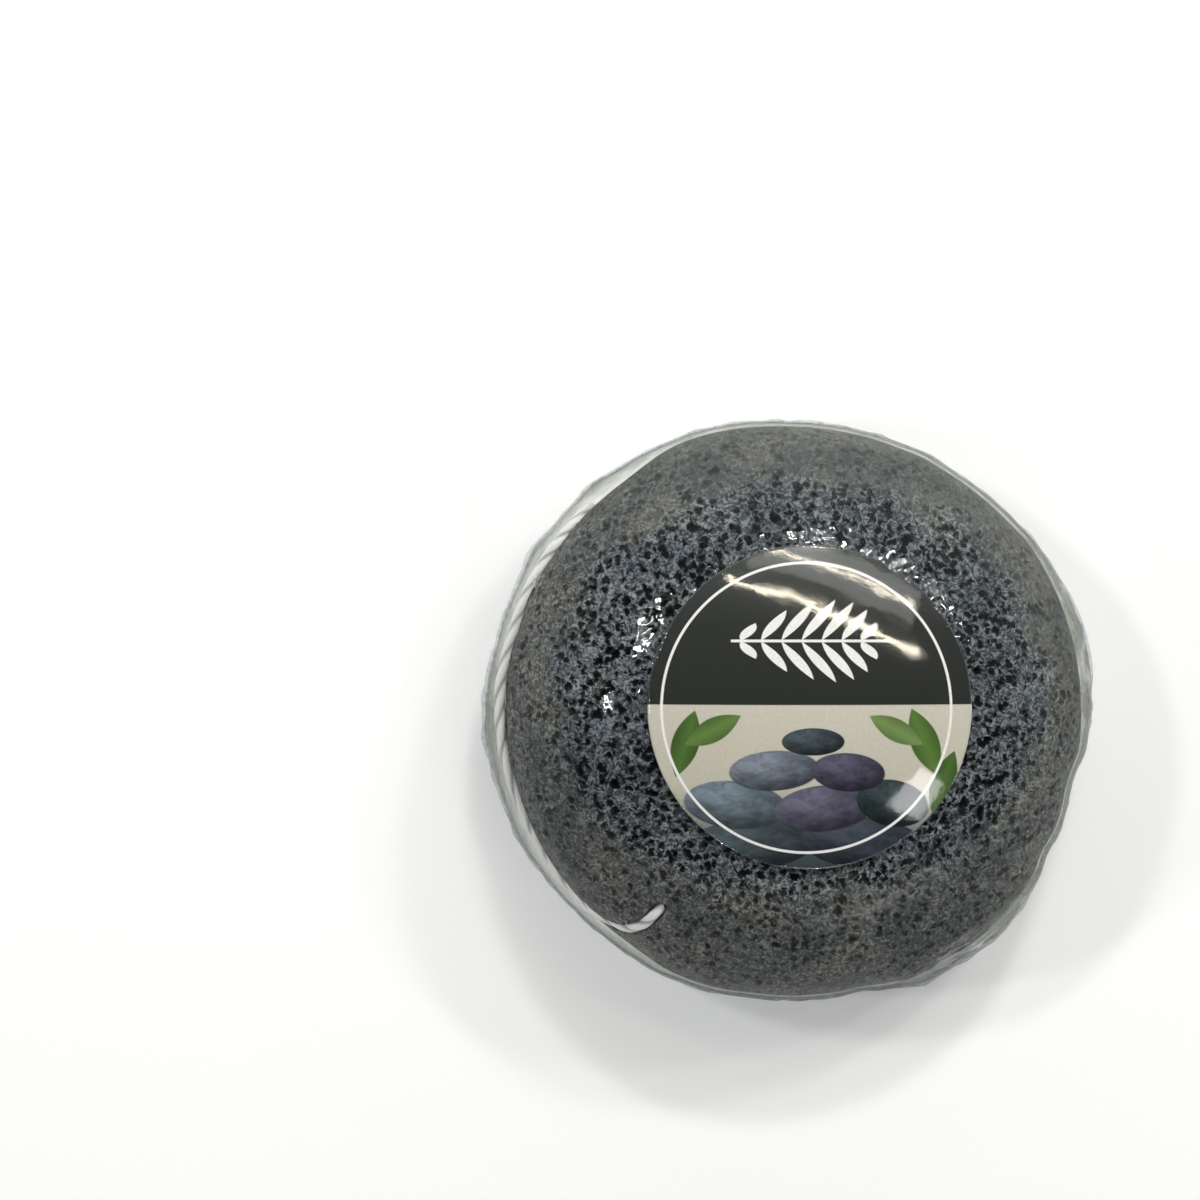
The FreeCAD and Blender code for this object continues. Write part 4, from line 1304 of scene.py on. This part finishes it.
# The leaves' reach falls off towards both ends of the stem.
end_share = add_node(printed, "Math", {0: pair_start.outputs[0]}, operation="MULTIPLY_ADD",
                     in1=sprig_spacing / sprig_half, in2=0.5 * sprig_spacing / sprig_half + 0.12)
end_squared = add_node(printed, "Math", {0: end_share.outputs[0], 1: end_share.outputs[0]},
                       operation="MULTIPLY")
own_reach = add_node(printed, "Math", {0: end_squared.outputs[0]}, operation="MULTIPLY_ADD",
                     in1=-leaf_reach, in2=leaf_reach)
out_share = add_node(printed, "Math", {0: off_stem.outputs[0], 1: own_reach.outputs[0]}, operation="DIVIDE")
rest_share = add_node(printed, "Math", {1: out_share.outputs[0]}, operation="SUBTRACT", in0=1.0)
bow = add_node(printed, "Math", {0: out_share.outputs[0], 1: rest_share.outputs[0]}, operation="MULTIPLY")
leaf_half = add_node(printed, "Math", {0: bow.outputs[0]}, operation="MULTIPLY", in1=1.35)
leaf_inside = add_node(printed, "Math", {0: leaf_half.outputs[0], 1: leaf_aside.outputs[0]},
                       operation="SUBTRACT")
leaf_cover = add_node(printed, "MapRange", {"Value": leaf_inside.outputs[0]}, From_Min=0.0, From_Max=0.04)
print("sprig", 2 * sprig_half, "mm long")

# %% Stem and cover
on_stem = add_node(printed, "MapRange", {"Value": off_stem.outputs[0]}, From_Min=0.14, From_Max=0.20,
                   To_Min=1.0, To_Max=0.0)
far_along = add_node(printed, "Math", {0: across_mm}, operation="ABSOLUTE")
stem_end = add_node(printed, "MapRange", {"Value": far_along.outputs[0]}, From_Min=sprig_half - 0.1,
                    From_Max=sprig_half, To_Min=1.0, To_Max=0.0)
stem_cover = add_node(printed, "Math", {0: on_stem.outputs[0], 1: stem_end.outputs[0]}, operation="MULTIPLY")
reach_left = add_node(printed, "Math", {0: own_reach.outputs[0]}, operation="GREATER_THAN", in1=0.4)
pair_cover = add_node(printed, "Math", {0: leaf_cover.outputs[0], 1: reach_left.outputs[0]},
                      operation="MULTIPLY")
sprig_cover = add_node(printed, "Math", {0: pair_cover.outputs[0], 1: stem_cover.outputs[0]},
                       operation="MAXIMUM")
white = add_node(printed, "RGB")
white.outputs[0].default_value = linear("#f2f2ee")
colour = over(colour, white.outputs[0], sprig_cover.outputs[0])
print("white ink:", [round(float(part), 2) for part in white.outputs[0].default_value[:3]])

# %% White ring and the finish
ring_centre, ring_radius = (-0.5, -0.12, 0), 18.05
ring_place = add_node(printed, "VectorMath", {0: on_label.outputs[0]}, operation="DISTANCE", in1=ring_centre)
ring_gap = add_node(printed, "Math", {0: ring_place.outputs["Value"]}, operation="SUBTRACT", in1=ring_radius)
ring_aside = add_node(printed, "Math", {0: ring_gap.outputs[0]}, operation="ABSOLUTE")
ring_cover = add_node(printed, "MapRange", {"Value": ring_aside.outputs[0]}, From_Min=0.14, From_Max=0.20,
                      To_Min=1.0, To_Max=0.0)
colour = over(colour, white.outputs[0], ring_cover.outputs[0])
ink = add_node(printed, "MapRange", {"Value": ink_noise.outputs["Fac"]}, To_Min=0.86, To_Max=1.14)
inked = add_node(printed, "Mix", {6: colour, 7: ink.outputs[0]}, data_type="RGBA",
                 blend_type="MULTIPLY", in0=1.0)
# The laminate is bonded to the paper, so the paper has no gloss of its own.
printed_skin = add_node(printed, "BsdfPrincipled", {"Base Color": inked.outputs[2]}, Roughness=0.6, IOR=1.5,
                        Specular_IOR_Level=0.0)
printed.node_tree.links.new(printed_skin.outputs[0], printed_out.inputs[0])
face.data.materials.append(printed)
print(printed.name, "nodes:", len(printed.node_tree.nodes))

# %% [markdown]
# ### Gloss laminate
# A clear polypropylene film over the print. Like the wrap it is a mix of see-through and gloss,
# but smoother, so a lamp over it shows as a bright streak.

# %% Gloss laminate
gloss, gloss_out = new_material("gloss_polypropylene_laminate")
place = add_node(gloss, "TexCoord")
facing = add_node(gloss, "LayerWeight", Blend=0.5)
fifth = add_node(gloss, "Math", {0: facing.outputs["Facing"]}, operation="POWER", in1=5.0)
gloss_share = add_node(gloss, "Math", {0: fifth.outputs[0]}, operation="MULTIPLY_ADD", in1=0.95, in2=0.04)
waves = add_node(gloss, "TexNoise", {"Vector": place.outputs["Object"]}, Scale=1 / (2.2 * MM), Detail=3.0)
gloss_bump = add_node(gloss, "Bump", {"Height": waves.outputs["Fac"]}, Strength=1.0, Distance=0.012 * MM)
mirror = add_node(gloss, "BsdfAnisotropic", {"Normal": gloss_bump.outputs[0]},
                  Color=linear("#ffffff"), Roughness=0.07)
see_through = add_node(gloss, "BsdfTransparent", Color=linear("#ffffff"))
gloss_mix = add_node(gloss, "MixShader", {
    0: gloss_share.outputs[0], 1: see_through.outputs[0], 2: mirror.outputs[0]})
gloss.node_tree.links.new(gloss_mix.outputs[0], gloss_out.inputs[0])
laminate.data.materials.append(gloss)
print(gloss.name, "on", laminate.name)

# %% [markdown]
# ## Which body each piece rides on
# The wrap's back web stays put. The sponge and its string lift out of it, and the front web
# lifts off with the sticker.

# %% Bodies, slots and the nodes that the pieces stand for
dressing = (
    (sponge, "sponge", "charcoal_konjac_fibre", "sponge_body"),
    (string, "sponge", "white_cotton_string", "hanging_string"),
    (knot, "sponge", "white_cotton_string", "string_knot"),
    (front_film, "front_wrap", "clear_shrink_film", "front_film_web"),
    (back_film, "back_wrap", "clear_shrink_film", "back_film_web"),
    (seal, "back_wrap", "welded_film_seal", "trim_seal"),
    (adhesive, "front_wrap", "sticker_adhesive", "sticker_adhesive"),
    (face, "front_wrap", "printed_sticker_face", "sticker_face"),
    (laminate, "front_wrap", "gloss_laminate", "sticker_laminate"),
)
for piece, body, material_slot, node in dressing:
    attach(piece, body)
    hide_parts(node)
print("dressed", len(dressing), "nodes")

# %% [markdown]
# ## Floor and light
# The floor is a pale sweep that the camera sees as white, with the object's shadow left on it.
# The sky is dark overhead and pale towards the horizon, like a room with white walls. The film
# mirrors the dark part near the crown and the pale part on the flanks, and that is most of
# what makes it look like film.

# %% Floor
floor_reach, floor_drop = 3000, 0.02
floor_corners = np.array([[-1, -1, 0], [1, -1, 0], [1, 1, 0], [-1, 1, 0]]) * floor_reach - [0, 0, floor_drop]
floor = make_mesh("floor", floor_corners, np.array([[0, 1, 2, 3]]), np.zeros((0, 3), int))
floor_material, floor_out = new_material("matt_white_sweep")
ray = add_node(floor_material, "LightPath")
seen = add_node(floor_material, "Math", {
    0: ray.outputs["Is Camera Ray"], 1: ray.outputs["Is Transmission Ray"]}, operation="MAXIMUM")
seen_mirrored = add_node(floor_material, "Math", {0: seen.outputs[0], 1: ray.outputs["Is Glossy Ray"]},
                         operation="MAXIMUM")
lift = add_node(floor_material, "Math", {0: seen_mirrored.outputs[0]}, operation="MULTIPLY", in1=0.20)
floor_paint = add_node(floor_material, "BsdfDiffuse", Color=linear("#eeeeee"))
floor_glow = add_node(floor_material, "Emission", {"Strength": lift.outputs[0]}, Color=linear("#ffffff"))
floor_sum = add_node(floor_material, "AddShader", {0: floor_paint.outputs[0], 1: floor_glow.outputs[0]})
floor_material.node_tree.links.new(floor_sum.outputs[0], floor_out.inputs[0])
floor.data.materials.append(floor_material)
print("floor glow for the camera", 0.20)

# %% [markdown]
# The room is a world with no picture: its colour depends only on how high a ray looks. It is dark
# overhead, so the crown's film stays clear, and pale low down.

# %% Sky
sky = bpy.data.worlds.new("pale_room")
bpy.context.scene.world = sky
sky.use_nodes = True
sky.node_tree.nodes.clear()
sky_out = sky.node_tree.nodes.new("ShaderNodeOutputWorld")
direction = add_node(sky, "TexCoord")
parts = add_node(sky, "SeparateXYZ", {0: direction.outputs["Generated"]})
# The pale part reaches up higher behind the object, at +Y.
back_lift = add_node(sky, "Math", {0: parts.outputs[1]}, operation="MULTIPLY", in1=0.22)
level = add_node(sky, "Math", {0: parts.outputs[2], 1: back_lift.outputs[0]}, operation="SUBTRACT")
sky_tone = add_node(sky, "ValToRGB", {"Fac": level.outputs[0]}, [
    (0.0, "#e8e8e6"), (0.12, "#c8c8c6"), (0.26, "#77797a"), (0.46, "#3c4246"), (0.76, "#20262b")])
sky_light = add_node(sky, "Background", {"Color": sky_tone.outputs[0]}, Strength=1.0)
sky.node_tree.links.new(sky_light.outputs[0], sky_out.inputs[0])
print("sky tones:", len(sky_tone.color_ramp.elements))

# %% [markdown]
# The lamps are what the glossy surfaces show. Small windows give the sparkles in the puckered film
# round the sticker, and each sits where the film there mirrors it to the camera. Two tubes draw
# the streaks across the sticker. Wide, weak walls light the flanks. All together they light
# the object at a plain level.

# %% Lamps
def add_lamp(name, place, size, power, colour="#ffffff", along=None):
    """A rectangular area lamp at a place in millimetres, that looks at the sponge's top. Its
    long side may be turned to run along a direction."""
    data = bpy.data.lights.new(name, "AREA")
    data.shape = "RECTANGLE"
    data.size, data.size_y = size[0] * MM, size[1] * MM
    data.energy = power
    data.color = linear(colour)[:3]
    lamp = bpy.data.objects.new(name, data)
    away = np.array(place, float) - (0, 0, 30)
    back = away / np.linalg.norm(away)
    long_side = np.array(along if along is not None else (-back[1], back[0], 0), float)
    long_side -= (long_side @ back) * back
    long_side /= np.linalg.norm(long_side)
    matrix = np.eye(4)
    matrix[:3, 0], matrix[:3, 1], matrix[:3, 2] = long_side, np.cross(back, long_side), back
    matrix[:3, 3] = np.array(place) * MM
    lamp.matrix_world = matrix.T.tolist()
    bpy.context.scene.collection.objects.link(lamp)
    return lamp


def from_angles(azimuth, zenith, distance):
    """A place in millimetres at an azimuth from +X, an angle from straight up and a distance."""
    a, b = np.radians(azimuth), np.radians(zenith)
    return distance * np.array([np.sin(b) * np.cos(a), np.sin(b) * np.sin(a), np.cos(b)])


add_lamp("window_left", from_angles(152, 36, 700), (70, 44), 0.9)
add_lamp("window_back", from_angles(80, 37, 700), (80, 40), 1.25)
add_lamp("window_right", from_angles(49, 42, 700), (60, 40), 0.75)
add_lamp("window_front", from_angles(327, 33, 700), (110, 70), 0.12)
add_lamp("window_far_right", from_angles(32, 43, 700), (40, 30), 0.4)
add_lamp("side_left", from_angles(180, 45, 700), (40, 40), 0.65)
add_lamp("tube_lamp", (92, 216, 600), (490, 12), 0.4, "#fff3dc", along=(454, -179, 0))
add_lamp("far_tube_lamp", (134, 324, 600), (410, 9), 0.2, "#fff3dc", along=(388, -132, 0))
add_lamp("ceiling_glow", (134, 335, 620), (450, 115), 0.22)
add_lamp("back_wall", from_angles(88, 72, 900), (900, 250), 0.9)
add_lamp("front_wall", from_angles(298, 68, 900), (850, 300), 2.2)
add_lamp("left_wall", from_angles(152, 64, 900), (420, 200), 0.15)

# %% [markdown]
# ## Finish
# Colours are shown as they are, with no film look.

# %% Finish
bpy.context.scene.view_settings.view_transform = "Standard"
